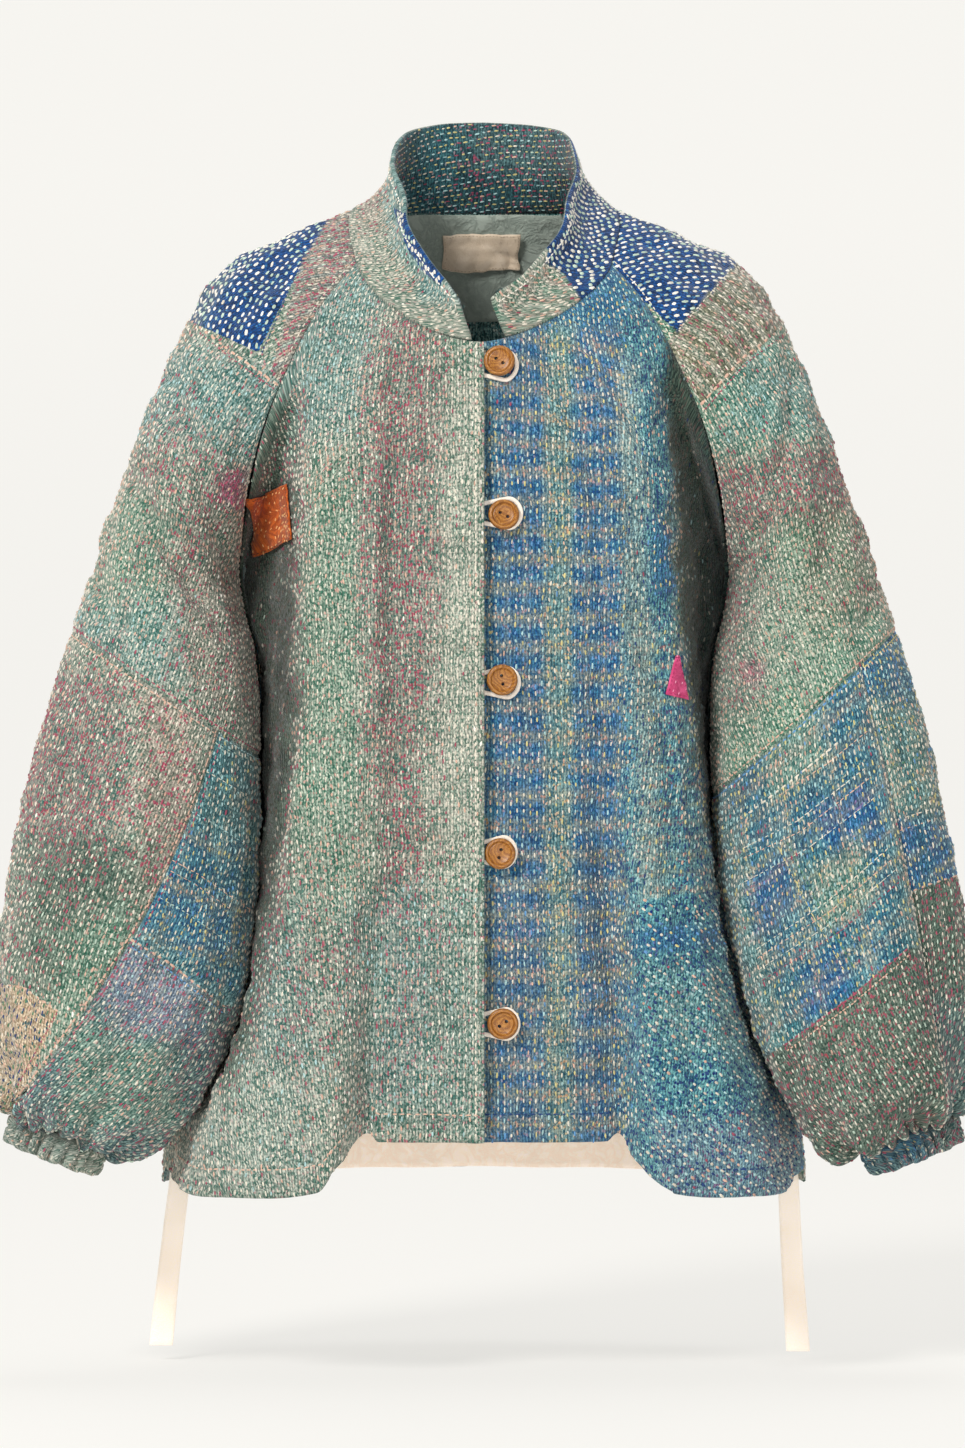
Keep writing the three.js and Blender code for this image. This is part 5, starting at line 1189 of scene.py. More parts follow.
# Finds the grid places where two fields have the wanted values, such as cloth lengths or picture coordinates
def findInGrid(a, b, wantedA, wantedB, allowed=None):
    spots = np.argwhere(allowed if allowed is not None else np.ones(a.shape, bool))
    tree = kdtree.KDTree(len(spots))
    for k, (i, j) in enumerate(spots):
        tree.insert((a[i, j], b[i, j], 0), k)
    tree.balance()
    nearest = np.array([tree.find((x, y, 0))[1] for x, y in zip(wantedA, wantedB)], int)
    gi, gj = spots[nearest, 0].astype(float), spots[nearest, 1].astype(float)
    slopes = [np.gradient(f, axis=k) for f in (a, b) for k in (0, 1)]
    for _ in range(5):
        ai, aj, bi, bj = (sampleGrid(f, gi, gj) for f in slopes)
        ea, eb = wantedA - sampleGrid(a, gi, gj), wantedB - sampleGrid(b, gi, gj)
        det = ai * bj - aj * bi
        det = np.where(np.abs(det) < 1e-6, 1e-6, det)
        gi = gi + np.clip((ea * bj - eb * aj) / det, -1.5, 1.5)
        gj = gj + np.clip((ai * eb - bi * ea) / det, -1.5, 1.5)
    off = np.hypot(wantedA - sampleGrid(a, gi, gj), wantedB - sampleGrid(b, gi, gj))
    rows, columns = a.shape
    inside = (gi > 0.1) & (gj > 0.1) & (gi < rows - 1.1) & (gj < columns - 1.1)
    return gi, gj, inside & (off < 1.5)


# Stitches as low pillows: four corners under the cloth and a ridge of two points, six triangles each
def stitchMesh(name, places, alongs, normals, lengths, widths, heights, colours):
    across = unit(np.cross(alongs, normals))
    a, b = alongs * (lengths / 2)[:, None], across * (widths / 2)[:, None]
    low, high = normals * -0.22, normals * heights[:, None]
    corners = np.stack([places - a - b * 0.6 + low, places - a + b * 0.6 + low, places + a - b * 0.6 + low,
                        places + a + b * 0.6 + low, places - b + low, places + b + low,
                        places - a * 0.4 + high, places + a * 0.4 + high], 1)
    start = np.arange(len(places))[:, None, None] * 8
    shape = np.array([[0, 1, 6], [1, 5, 6], [5, 7, 6], [5, 3, 7], [3, 2, 7], [2, 4, 7], [4, 6, 7], [4, 0, 6]])
    obj = makeMesh(name, corners.reshape(-1, 3), (start + shape[None]).reshape(-1, 3), thread)
    setAttribute(obj, "threadColour", "FLOAT_COLOR",
                 np.repeat(np.column_stack([colours, np.ones(len(colours))]), 8, 0))
    return obj


threadPalette = np.array([hexToLinear(threadColours[t]) for t in threadNames])


def pickThreads(weights):
    chance = np.cumsum(weights / weights.sum(1, keepdims=True), 1)
    picked = (rng.random(len(weights))[:, None] > chance).sum(1)
    colours = threadPalette[np.clip(picked, 0, len(threadNames) - 1)]
    # painted shade: threads sewn in the painted shade by the sleeves are darkened with it
    shadeDim = 1 - 0.6 * (weights[:, threadNames.index("moss")] + weights[:, threadNames.index("umber")])
    return colours * shadeDim[:, None] * rng.uniform(0.76, 1.1, (len(colours), 1))


# Rows of running stitch: 4.4 mm between rows, 5.8 mm from stitch to stitch, each row half a step off the last
runningStitch = dict(across=4.3, along=5.6, long=3.3, wide=1.5, high=0.75, missing=0.04, jitter=0.25)


def latticeOver(panel, across, along, turn, keep):
    u, v = panel["u"], panel["v"]
    c, s = math.cos(turn), math.sin(turn)
    a, b = u * c + v * s, -u * s + v * c
    columns = np.arange(math.floor(a.min() / across), math.ceil(a.max() / across) + 1)
    rows = np.arange(math.floor(b.min() / along), math.ceil(b.max() / along) + 1)
    grid = np.array([(i, j + 0.5 * (i % 2)) for i in columns for j in rows], float)
    grid[:, 0] *= across
    grid[:, 1] = grid[:, 1] * along + 1.6 * np.sin(grid[:, 0] * 0.37) + rng.normal(0, 0.35, len(grid))
    wander = 1.1 * np.sin(grid[:, 1] * 0.045 + grid[:, 0] * 0.02) + 0.6 * np.sin(grid[:, 1] * 0.11 + 1.7)
    grid[:, 0] += wander + rng.normal(0, keep["jitter"] * 0.6, len(grid))
    wantedU, wantedV = grid[:, 0] * c - grid[:, 1] * s, grid[:, 0] * s + grid[:, 1] * c
    near = (wantedU > u.min() - 2) & (wantedU < u.max() + 2) & (wantedV > v.min() -
                                                                2) & (wantedV < v.max() + 2)
    wantedU, wantedV = wantedU[near], wantedV[near]
    gi, gj, good = findInGrid(u, v, wantedU, wantedV)
    good &= rng.random(len(good)) > keep["missing"]
    return gi[good], gj[good]


def stitchesOn(panel, gi, gj, turn, long, wide, high):
    grid, normals = panel["grid"], panel["normals"]
    place, normal = sampleGrid(grid, gi, gj), unit(sampleGrid(normals, gi, gj))
    di, dj = sampleGrid(np.gradient(grid, axis=0), gi, gj), sampleGrid(np.gradient(grid, axis=1), gi, gj)
    ui, uj = (sampleGrid(np.gradient(panel["u"], axis=k), gi, gj) for k in (0, 1))
    vi, vj = (sampleGrid(np.gradient(panel["v"], axis=k), gi, gj) for k in (0, 1))
    angle = turn + rng.normal(0, 0.1, len(gi))
    wantU, wantV = -np.sin(angle), np.cos(angle)
    det = ui * vj - uj * vi
    stepI, stepJ = (wantU * vj - wantV * uj) / det, (wantV * ui - wantU * vi) / det
    along = unit(di * stepI[:, None] + dj * stepJ[:, None])
    count = len(gi)
    return (place, along, normal, long * rng.uniform(0.72, 1.25, count), wide * rng.uniform(0.8, 1.2, count),
            high * rng.uniform(0.75, 1.2, count))


# Stitches along a line drawn on a panel, such as the seam of a patch
def lineStitches(panel, byCloth, line, size):
    line = np.array(line, float)
    a, b = (panel["u"], panel["v"]) if byCloth else (panel["x"], panel["y"])
    scale = 1 if byCloth else picture["mmPerPixel"]
    lengths = np.pad(np.cumsum(np.linalg.norm(np.diff(line, axis=0), axis=1)), (1, 0)) * scale
    count = max(2, int(lengths[-1] / (size[0] * 1.25)))
    t = np.linspace(0, lengths[-1], count) + rng.normal(0, 0.3, count)
    wantedA, wantedB = (np.interp(t, lengths, line[:, k]) for k in (0, 1))
    allowed = None if byCloth else panel["normals"][..., 1] < 0.05
    gi, gj, good = findInGrid(a, b, wantedA, wantedB, allowed)
    gi, gj = gi[good], gj[good]
    place, normal = sampleGrid(panel["grid"], gi, gj), unit(sampleGrid(panel["normals"], gi, gj))
    if len(place) < 3:
        return None
    along = unit(np.gradient(place, axis=0) + rng.normal(0, 0.25, place.shape))
    count = len(place)
    return (place, along, normal, size[0] * rng.uniform(0.8, 1.2, count),
            size[1] * rng.uniform(0.85, 1.15, count), np.full(count, 0.3 + size[1] * 0.3))


# Sewing along an edge of a panel, a little way in from it
def edgeStitches(panel, edge, offset, step, size):
    grid = panel["grid"]
    rows, columns = grid.shape[:2]
    lines = dict(start=(grid[:, 0], grid[:, 1]), end=(grid[:, -1], grid[:, -2]), first=(grid[0], grid[1]),
                 last=(grid[-1], grid[-2]))
    rim, inner = lines[edge]
    spacing = np.linalg.norm(inner - rim, axis=1)
    lengths = np.pad(np.cumsum(np.linalg.norm(np.diff(rim, axis=0), axis=1)), (1, 0))
    count = max(3, int(lengths[-1] / step))
    at = np.interp(np.linspace(step, lengths[-1] - step, count) + rng.normal(0, 0.25, count), lengths,
                   np.arange(len(rim)))
    inwards = offset / np.interp(at, np.arange(len(rim)), spacing)
    gi, gj = dict(start=(at, inwards), end=(at, columns - 1 - inwards), first=(inwards, at),
                  last=(rows - 1 - inwards, at))[edge]
    place, normal = sampleGrid(grid, gi, gj), unit(sampleGrid(panel["normals"], gi, gj))
    along = unit(np.gradient(place, axis=0) + rng.normal(0, 0.12, place.shape))
    return (place, along, normal, size[0] * rng.uniform(0.8, 1.2, count),
            size[1] * rng.uniform(0.85, 1.15, count), np.full(count, 0.25 + size[1] * 0.3))


def lookAttributes(obj, look, patchLook, edge, u, v, source):
    setAttribute(obj, "clothMm", "FLOAT_VECTOR", np.stack([u.ravel(), v.ravel(), 0 * u.ravel()], -1)[source])
    for names, values in ((("dark", "light", "fleck", "fleckShare"), look),
                          (("patchDark", "patchLight", "patchFleck", "patchShare"), patchLook)):
        flat = values.reshape(-1, values.shape[-1])[source]
        for k, name in enumerate(names[:3]):
            setAttribute(obj, name, "FLOAT_COLOR",
                         np.column_stack([flat[:, 3 * k:3 * k + 3], np.ones(len(flat))]))
        setAttribute(obj, names[3], "FLOAT", flat[:, 9])
    setAttribute(obj, "patchEdge", "FLOAT", edge.ravel()[source])


def quiltedCloth(panel, name, design, thickness, closed=False):
    x, y = (panel["u"], panel["v"]) if design.get("byCloth") else (panel["x"], panel["y"])
    look = paintZones(design["base"], design["zones"], x, y, panel["u"], panel["v"])
    patchLook, edge, _ = paintPatches(design.get("patches", ()), x, y, panel["u"], panel["v"])
    corners, faces, source = shellOf(panel["grid"], panel["normals"], thickness, closed)
    obj = makeMesh(name, corners, faces, quilt)
    lookAttributes(obj, look, patchLook, edge, panel["u"], panel["v"], source)
    return obj, look


def sewPanel(name, design, slot, sewing):
    panel = panels[name]
    obj, look = quiltedCloth(panel, name + "_quilt", design, panel["thickness"])
    dress(obj, slot, name)
    byCloth = design.get("byCloth", False)
    patches = design.get("patches", ())
    sets, colours = [], []

    def looksAt(gi, gj):
        u, v, x, y = (sampleGrid(panel[k], gi, gj) for k in ("u", "v", "x", "y"))
        if byCloth:
            x, y = u, v
        base = paintZones(design["base"], design["zones"], x, y, u, v)
        patchLook, edge, which = paintPatches(patches, x, y, u, v)
        return base, patchLook, edge, which

    keep = runningStitch
    gi, gj = latticeOver(panel, keep["across"], keep["along"], 0, keep)
    base, patchLook, edge, which = looksAt(gi, gj)
    mixed = np.where((edge > 0)[:, None], patchLook, base)
    ownLattice = np.array([("lattice" in p) for p in patches] + [False])[which] & (edge > -1)
    sets.append([part[~ownLattice] for part in stitchesOn(panel, gi, gj, 0, keep["long"], keep["wide"],
                                                          keep["high"])])
    colours.append(pickThreads(mixed[~ownLattice][:, 10:]))
    for k, patch in enumerate(patches):
        if "lattice" not in patch:
            continue
        own = patch["lattice"]
        gi, gj = latticeOver(panel, own["across"], own["along"], own["turn"], dict(jitter=0.3, missing=0.03))
        _, patchLook, edge, which = looksAt(gi, gj)
        inside = (which == k) & (edge > 0.4)
        gi, gj = gi[inside], gj[inside]
        sets.append(stitchesOn(panel, gi, gj, own["turn"], own["long"], own["wide"], 0.95))
        colours.append(pickThreads(patchLook[inside][:, 10:]))
    for seam in design.get("seams", ()):
        made = lineStitches(panel, byCloth, seam["line"], seam["size"])
        if made is not None:
            sets.append(made)
            colours.append(np.tile(hexToLinear(threadColours[seam["thread"]]), (len(made[0]), 1)))
    for edgeName, offset, step, size, threadName in sewing:
        made = edgeStitches(panel, edgeName, offset, step, size)
        sets.append(made)
        colours.append(np.tile(hexToLinear(threadColours[threadName]), (len(made[0]), 1)))
    joined = [np.concatenate([s[k] for s in sets]) for k in range(6)]
    stitches = stitchMesh(name + "_stitches", *joined, np.concatenate(colours))
    dress(stitches, slot)
    print(name, "sewn with", len(joined[0]), "stitches")
    return obj


# Sewing by panel: edge, how far in, step, length and width of a stitch, thread
sewing = {
    "front_right": [("start", 5, 4.6, (3.2, 1.3), "cream"), ("first", 18, 5.2, (3.4, 1.4), "peach")],
    "front_left": [("start", 6, 4.6, (3.2, 1.3), "cyan"), ("first", 18, 5.2, (3.4, 1.4), "navy")],
    "back": [("first", 18, 5.2, (3.4, 1.4), "cream"), ("start", 3.2, 4.6, (3, 1.2), "peach"),
             ("end", 3.2, 4.6, (3, 1.2), "peach")],
    "sleeve_upper_right": [("last", 3.0, 4.4, (3.2, 1.4), "rose"), ("start", 3.0, 4.6, (3, 1.2), "cream")],
    "sleeve_upper_left": [("last", 3.0, 4.4, (3.2, 1.4), "peach"), ("start", 3.0, 4.6, (3, 1.2), "cream")],
    "sleeve_outer_right": [("first", 3.0, 4.6, (3.2, 1.5), "peach"),
                           ("start", 2.6, 4.4, (3.4, 1.7), "peach")],
    "sleeve_inner_right": [("first", 3.0, 4.6, (3, 1.3), "cyan"), ("end", 3.0, 4.6, (3, 1.2), "rose")],
    "sleeve_outer_left": [("first", 3.0, 4.6, (3.2, 1.4), "yellow"), ("start", 3.0, 4.6, (3, 1.2), "cream")],
    "sleeve_inner_left": [("first", 3.0, 4.6, (3.4, 1.6), "sky"), ("end", 3.0, 4.6, (3, 1.2), "cream")],
}
slots = {"front_right": "kantha_green", "front_left": "kantha_blue"}
for name in panels:
    sewPanel(name, designs[name], slots.get(name, "kantha_mixed"), sewing[name])
print("panels sewn")

# Collar: two layers of the same quilt, turned, standing round the neck
neckShares = dict(front=0.26, sleeve=0.4)
collarTops = {
    right: table("at x y z", (0.02, 21, -108, -45), (0.09, 36, -93, -23), (0.17, 50, -73, 0),
                 (0.26, 57, -46, 27),
                 (0.33, 62, -12, 51), (0.4, 57, 28, 73), (0.45, 34, 56, 82), (0.5, 0, 64, 84)),
    left: table("at x y z", (0.05, 6, -104, -46), (0.1, 29, -95, -29), (0.17, 49, -76, -6),
                (0.26, 58, -46, 24),
                (0.33, 65, -12, 49), (0.4, 58, 28, 73), (0.45, 34, 56, 82), (0.5, 0, 64, 84)),
}
collarShape = dict(start=0.02, end=0.95, waist=6.0, rise=1.1)


def neckPoint(side, t):
    onFront = bodyPoint(side, True, np.clip(t / neckShares["front"], 0, 1), 2 + 0 * t)
    onSleeve = sleevePoint(side, 0 * t,
                           np.clip((t - neckShares["front"]) / (neckShares["sleeve"] - neckShares["front"]),
                                   0, 1))
    past = (t - neckShares["sleeve"]) / (0.5 - neckShares["sleeve"])
    onBack = bodyPoint(side, False, np.clip(1 - past, 0, 1), 2 + 0 * t)
    return np.where((t < neckShares["front"])[..., None], onFront,
                    np.where((t < neckShares["sleeve"])[..., None], onSleeve, onBack))


def collarPoint(h, q):
    h, q = np.broadcast_arrays(np.asarray(h, float), np.asarray(q, float))
    made = {}
    for side in (right, left):
        t = np.clip(q if side == right else 1 - q, 0, 0.5)
        top = readTable(collarTops[side], "at", t)
        base = neckPoint(side, t) + np.array([0, 0, collarShape["rise"]])
        p = lerp(base, points(side * top["x"], top["y"], top["z"]), h[..., None])
        waist = collarShape["waist"] * 4 * h * (1 - h) * smooth(0.02, 0.2, t)
        made[side] = p + unit(p * np.array([-1, -1, 0])) * waist[..., None]
    return np.where((q < 0.5)[..., None], made[right], made[left])


collarDesigns = {
    "out": dict(base="paleSage", zones=[
        dict(yarn="sage", outline=[(330, 250), (420, 260), (460, 330), (380, 330)], soft=20, strength=0.6),
        dict(yarn="teal", outline=[(378, 130), (404, 130), (420, 220), (452, 300), (420, 300), (386, 220)],
             soft=9, strength=0.85),
        dict(yarn="roseTan", outline=[(352, 150), (378, 150), (384, 230), (356, 240)], soft=12, strength=0.5),
        dict(yarn="rose", columns=(31, 5, 6, 3), strength=0.3),
    ], patches=[
        dict(yarn="cobalt", outline=[(545, 262), (572, 180), (566, 120), (640, 120), (660, 240), (602, 318),
                                     (582, 300), (560, 270)],
             lattice=dict(across=4.7, along=5.0, turn=0.5, long=3.9, wide=2.9)),
        dict(yarn="paleSage",
             outline=[(545, 262), (560, 270), (582, 300), (602, 318), (560, 350), (470, 350), (470, 300)],
             lattice=dict(across=3.0, along=5.2, turn=1.15, long=4.3, wide=1.5),
             zones=[dict(yarn="green", columns=(13, 6, 4, 2), strength=0.8),
                    dict(yarn="roseTan", columns=(19, 4, 2, 1.5), strength=0.7)]),
        dict(yarn="cobalt", outline=[(392, 206), (402, 212), (416, 222), (428, 246), (444, 276), (440, 286),
                                     (424, 272), (408, 250)],
             lattice=dict(across=4.2, along=4.8, turn=0.3, long=3.4, wide=2.4)),
    ], seams=[
        dict(line=[(548, 266), (566, 284), (600, 318)], thread="cream", size=(3.2, 1.6)),
    ]),
    "in": dict(base="night", zones=[
        dict(yarn="deepTeal", outline=[(400, 130), (460, 130), (450, 230), (400, 230)], soft=22,
             strength=0.5),
        dict(yarn="slate", outline=[(470, 120), (560, 120), (560, 175), (470, 165)], soft=22, strength=0.45),
    ]),
}


def sewCollar():
    q, h = np.linspace(collarShape["start"], collarShape["end"], 190), np.linspace(0, 1, 24)
    grid = collarPoint(h[None], q[:, None])
    normals = normalsOf(grid, grid * np.array([0.3, 0.3, 1]) + np.array([0, 0, 8]))
    u, v = clothLengths(grid, 0, 95)
    h2, q2 = np.broadcast_arrays(h[None], q[:, None])
    # soft rolls round the neck, and a hard ridge where the layers turn at the top edge
    wave = (1.1 * np.sin(q2 * 31 + 3 * h2) + 0.8 * np.sin(q2 * 53 - 4 * h2 + 1)
            + 0.9 * np.exp(-((h2 - 0.86) / 0.07) ** 2))
    fade = smooth(0, 0.12, h2) * smooth(0, 0.04,
                                        q2 - collarShape["start"]) * smooth(0, 0.04, collarShape["end"] - q2)
    grid = grid + normals * (wave * fade)[..., None]
    outer = dict(u=v, v=-u, grid=grid, normals=normals)
    thickness = cloth["collar"] - 1.0 * (1 - smooth(0, 0.14, h2)) - 1.2 * smooth(0.86, 1, h2)
    x, y = seenAt(grid)
    design = collarDesigns["out"]
    outer["x"], outer["y"] = x, y
    look = paintZones(design["base"], design["zones"], x, y, outer["u"], outer["v"])
    patchLook, edge, _ = paintPatches(design["patches"], x, y, outer["u"], outer["v"])
    corners, faces, source = shellOf(grid, normals, thickness)
    obj = makeMesh("collar_quilt", corners, faces, quilt)
    lookAttributes(obj, look, patchLook, edge, outer["u"], outer["v"], source)
    # the layer inside is another cloth
    count = grid.shape[0] * grid.shape[1]
    inner = grid - normals * thickness[..., None]
    ix, iy = seenAt(inner)
    own = paintZones(collarDesigns["in"]["base"], collarDesigns["in"]["zones"], ix, iy, outer["u"],
                     outer["v"]).reshape(count, -1)
    for k, name in enumerate(("dark", "light", "fleck")):
        data = obj.data.attributes[name].data
        values = np.empty(len(corners) * 4, np.float32)
        data.foreach_get("color", values)
        values = values.reshape(-1, 4)
        values[count:2 * count, :3] = own[:, 3 * k:3 * k + 3]
        data.foreach_set("color", values.ravel())
    edges = obj.data.attributes["patchEdge"].data
    values = np.empty(len(corners), np.float32)
    edges.foreach_get("value", values)
    values[count:2 * count] = -100
    edges.foreach_set("value", values)
    dress(obj, "kantha_mixed", "collar")

    insidePanel = dict(u=outer["u"], v=outer["v"], grid=inner, normals=-normals, x=ix, y=iy)
    sets, colours = [], []
    for panel, plan, turn in ((outer, design, 0), (insidePanel, collarDesigns["in"], 1.45)):
        gi, gj = latticeOver(panel, 3.7, 4.8, turn, runningStitch)
        pu, pv, px, py = (sampleGrid(panel[k], gi, gj) for k in ("u", "v", "x", "y"))
        base = paintZones(plan["base"], plan["zones"], px, py, pu, pv)
        patchLook, edge, which = paintPatches(plan.get("patches", ()), px, py, pu, pv)
        mixed = np.where((edge > 0)[:, None], patchLook, base)
        own = np.array([("lattice" in p) for p in plan.get("patches", ())] + [False])[which] & (edge > -1)
        sets.append([part[~own] for part in stitchesOn(panel, gi, gj, turn, 3.0, 1.5, 0.55)])
        colours.append(pickThreads(mixed[~own][:, 10:]))
    for k, patch in enumerate(design["patches"]):
        own = patch["lattice"]
        gi, gj = latticeOver(outer, own["across"], own["along"], own["turn"], dict(jitter=0.25, missing=0.02))
        pu, pv, px, py = (sampleGrid(outer[name], gi, gj) for name in ("u", "v", "x", "y"))
        patchLook, edge, which = paintPatches(design["patches"], px, py, pu, pv)
        inside = (which == k) & (edge > 0.4)
        sets.append(stitchesOn(outer, gi[inside], gj[inside], own["turn"], own["long"], own["wide"], 0.8))
        colours.append(pickThreads(patchLook[inside][:, 10:]))
    for seam in design["seams"]:
        made = lineStitches(outer, False, seam["line"], seam["size"])
        if made is not None:
            sets.append(made)
            colours.append(np.tile(hexToLinear(threadColours[seam["thread"]]), (len(made[0]), 1)))
    made = edgeStitches(outer, "end", 4.5, 3.6, (2.6, 1.2))
    sets.append(made)
    colours.append(np.tile(hexToLinear(threadColours["white"]), (len(made[0]), 1)))
    joined = [np.concatenate([s[k] for s in sets]) for k in range(6)]
    stitches = stitchMesh("collar_stitches", *joined, np.concatenate(colours))
    dress(stitches, "kantha_mixed")


sewCollar()
print("collar sewn")

# Cuffs: the sleeve's cloth drawn up on elastic into fine uneven pleats
cuffShape = dict(drop=19.0, pleats=25, columns=350, rows=13)
cuffDesigns = {
    right: dict(base="paleSage", zones=[
        dict(yarn="slate", outline=[(0, 1090), (70, 1100), (90, 1160), (0, 1160)], soft=14, strength=0.3),
        dict(yarn="cobalt", outline=[(30, 1090), (60, 1100), (52, 1130), (24, 1124)], soft=7, strength=0.7)]),
    left: dict(base="slate", zones=[
        dict(yarn="blue", outline=[(860, 1090), (930, 1090), (930, 1160), (860, 1160)], soft=14,
             strength=0.7),
        dict(yarn="rose", outline=[(930, 1090), (970, 1090), (970, 1160), (930, 1160)], soft=14,
             strength=0.5)]),
}


def sewCuff(side):
    across = unit(sleevePoint(side, wrist, 0.5) - sleevePoint(side, wrist, 0))
    down = np.cross(across, [0, 1, 0])
    down = unit(down if down[2] < 0 else -down)
    v = np.linspace(0, 1, cuffShape["columns"], endpoint=False)
    ring = sleevePoint(side, wrist + 0 * v, v)
    middle = ring.mean(0)
    out = unit(ring - middle)
    t = np.linspace(0, 1, cuffShape["rows"])[:, None]
    phase = 2 * math.pi * (cuffShape["pleats"] * v + 0.3 *
                           np.sin(2 * math.pi * 3 * v + side))[None] + 0.5 * np.sin(3 * t + 7 * v[None])
    swell = 1.9 * np.sin(math.pi * np.clip(t * 1.04, 0, 1)) ** 0.6 - 1.4 * np.exp(-((t - 0.5) / 0.05) ** 2)
    ridge = 2 * np.abs(np.sin(phase / 2)) ** 0.75 - 1.15
    pleat = (0.8 + 3.2 * smooth(0, 0.16, t)) * ridge * (0.8 + 0.3 * np.sin(17 * v[None] + 4 * t))
    grid = ring[None] + down * (0.4 + cuffShape["drop"] * t + 0.5 * np.sin(9 * 2 * math.pi * v)[None] *
                                t)[..., None]
    grid = grid + out[None] * (swell - 0.7 + pleat)[..., None]
    normals = np.broadcast_to(out[None], grid.shape)
    u, vv = clothLengths(grid, 0, 0)
    panel = dict(u=u, v=vv, grid=grid, normals=normals)
    panel["x"], panel["y"] = seenAt(grid)
    obj, look = quiltedCloth(panel, "cuff_quilt_" + sideName[side], cuffDesigns[side], 2.2 + 0 * u,
                             closed=True)
    dress(obj, "kantha_mixed", "cuff_" + sideName[side])
    gi, gj = latticeOver(panel, 5.4, 5.6, 0, dict(jitter=0.3, missing=0.35))
    pu, pv, px, py = (sampleGrid(panel[k], gi, gj) for k in ("u", "v", "x", "y"))
    base = paintZones(cuffDesigns[side]["base"], cuffDesigns[side]["zones"], px, py, pu, pv)
    made = stitchesOn(panel, gi, gj, 0, 2.6, 1.4, 0.6)
    stitches = stitchMesh("cuff_stitches_" + sideName[side], *made, pickThreads(base[:, 10:]))
    dress(stitches, "kantha_mixed")


for side in (right, left):
    sewCuff(side)
print("cuffs gathered")


# Plain cotton cambric, washed and crumpled: flat matt colour with a fine weave and short hard creases
def cambric(name, colour, shade, crumple):
    material = bpy.data.materials.new(name)
    material.use_nodes = True
    tree = material.node_tree
    shader = tree.nodes["Principled BSDF"]
    place = addNode(tree, "ShaderNodeAttribute", attribute_name="clothMm").outputs["Vector"]
    weave = addNode(tree, "ShaderNodeTexNoise", {"Vector": place, "Scale": 1.3, "Detail": 2.0})
    creases = addNode(tree, "ShaderNodeTexNoise",
                      {"Vector": place, "Scale": 0.075, "Detail": 5.0, "Roughness": 0.62, "Distortion": 0.5})
    ridge = addNode(tree, "ShaderNodeMath", {0: creases.outputs[0], 1: 0.5}, operation="SUBTRACT")
    fold = addNode(tree, "ShaderNodeMath", {0: ridge.outputs[0]}, operation="ABSOLUTE")
    sharp = addNode(tree, "ShaderNodeMapRange", {0: fold.outputs[0], 1: 0.0, 2: 0.12})
    # painted shade: the colour goes towards the darker shade along each crease line, where the bump sinks;
    # the weave's noise varies it too
    tone = addNode(tree, "ShaderNodeMath", {0: weave.outputs[0], 1: 0.6, 2: sharp.outputs[0]},
                   operation="MULTIPLY_ADD")
    level = addNode(tree, "ShaderNodeMapRange", {0: tone.outputs[0], 1: 0.2, 2: 1.3})
    mixed = addNode(tree, "ShaderNodeMix",
                    {0: level.outputs[0], 6: paintColour(shade), 7: paintColour(colour)}, data_type="RGBA")
    tree.links.new(mixed.outputs[2], shader.inputs["Base Color"])
    height = addNode(tree, "ShaderNodeMath", {0: sharp.outputs[0], 1: crumple, 2: weave.outputs[0]},
                     operation="MULTIPLY_ADD")
    bump = addNode(tree, "ShaderNodeBump", {"Height": height.outputs[0], "Strength": 0.4, "Distance": 0.0009})
    tree.links.new(bump.outputs[0], shader.inputs["Normal"])
    shader.inputs["Roughness"].default_value = 0.92
    shader.inputs["Sheen Weight"].default_value = 0.12
    return material


facingCotton = cambric("washed cotton cambric", "#A9B3A8", "#8F9A90", 3.0)
casingCotton = cambric("cream cotton cambric", "#FFF0E2", "#F0DCC8", 0.5)
satin = cambric("label satin", "#EAD6BE", "#DDC7AC", 0.0)
orangeCotton = cambric("orange cotton", "#DB6A1E", "#9A3F0C", 0.5)
pinkCotton = cambric("pink cotton", "#EE5D93", "#C2356B", 0.4)
satin.node_tree.nodes["Principled BSDF"].inputs["Roughness"].default_value = 0.5
# painted light: the cream cotton glows a little, so that it stays bright inside the hem where it lies in
# shade
casingGlowShader = casingCotton.node_tree.nodes["Principled BSDF"]
casingGlowShader.inputs["Emission Color"].default_value = paintColour("#F6DCC4")
casingGlowShader.inputs["Emission Strength"].default_value = 0.26


def liningPiece(name, columns, rows, lift, thickness, push, material, slot, node):
    grid = backPoint(columns[None], rows[:, None])
    normals = normalsOf(grid, towards(grid))
    u, v = clothLengths(grid, len(columns) // 2, 0)
    grid = grid + normals * (lift + push(u, v))[..., None]
    corners, faces, source = shellOf(grid, normals, thickness + 0 * u)
    obj = makeMesh(name, corners, faces, material)
    setAttribute(obj, "clothMm", "FLOAT_VECTOR", np.stack([u.ravel(), v.ravel(), 0 * u.ravel()], -1)[source])
    dress(obj, slot, node)
    return dict(u=u, v=v, grid=grid, normals=normals)


def facingFolds(u, v):
    return 0.5 * np.sin(0.11 * u + 0.07 * v) + 0.35 * np.sin(0.19 * u - 0.13 * v + 1) - 0.4


def casingGathers(u, v):
    # drawn up a little on its cord: folds about 15 mm apart that die away at the hem
    fade = smooth(4, 26, v)
    return -1.0 - fade * (1.1 + 0.9 * np.sin(0.42 * u + 1.2 * np.sin(0.05 * u)) + 0.5 *
                          np.sin(0.9 * u + 0.1 * v))


liningPiece("neck_facing_cloth", np.linspace(3 / 26, 23 / 26, 90), np.linspace(2 - 2 / 7, 2, 20), -3.7, 1.0,
            facingFolds, facingCotton, "cotton_facing", "neck_facing")
liningPiece("hem_casing_cloth", np.linspace(1 / 26, 25 / 26, 300), np.linspace(0, 0.111, 16), -3.2, 1.0,
            casingGathers, casingCotton, "cream_cotton", "hem_casing")


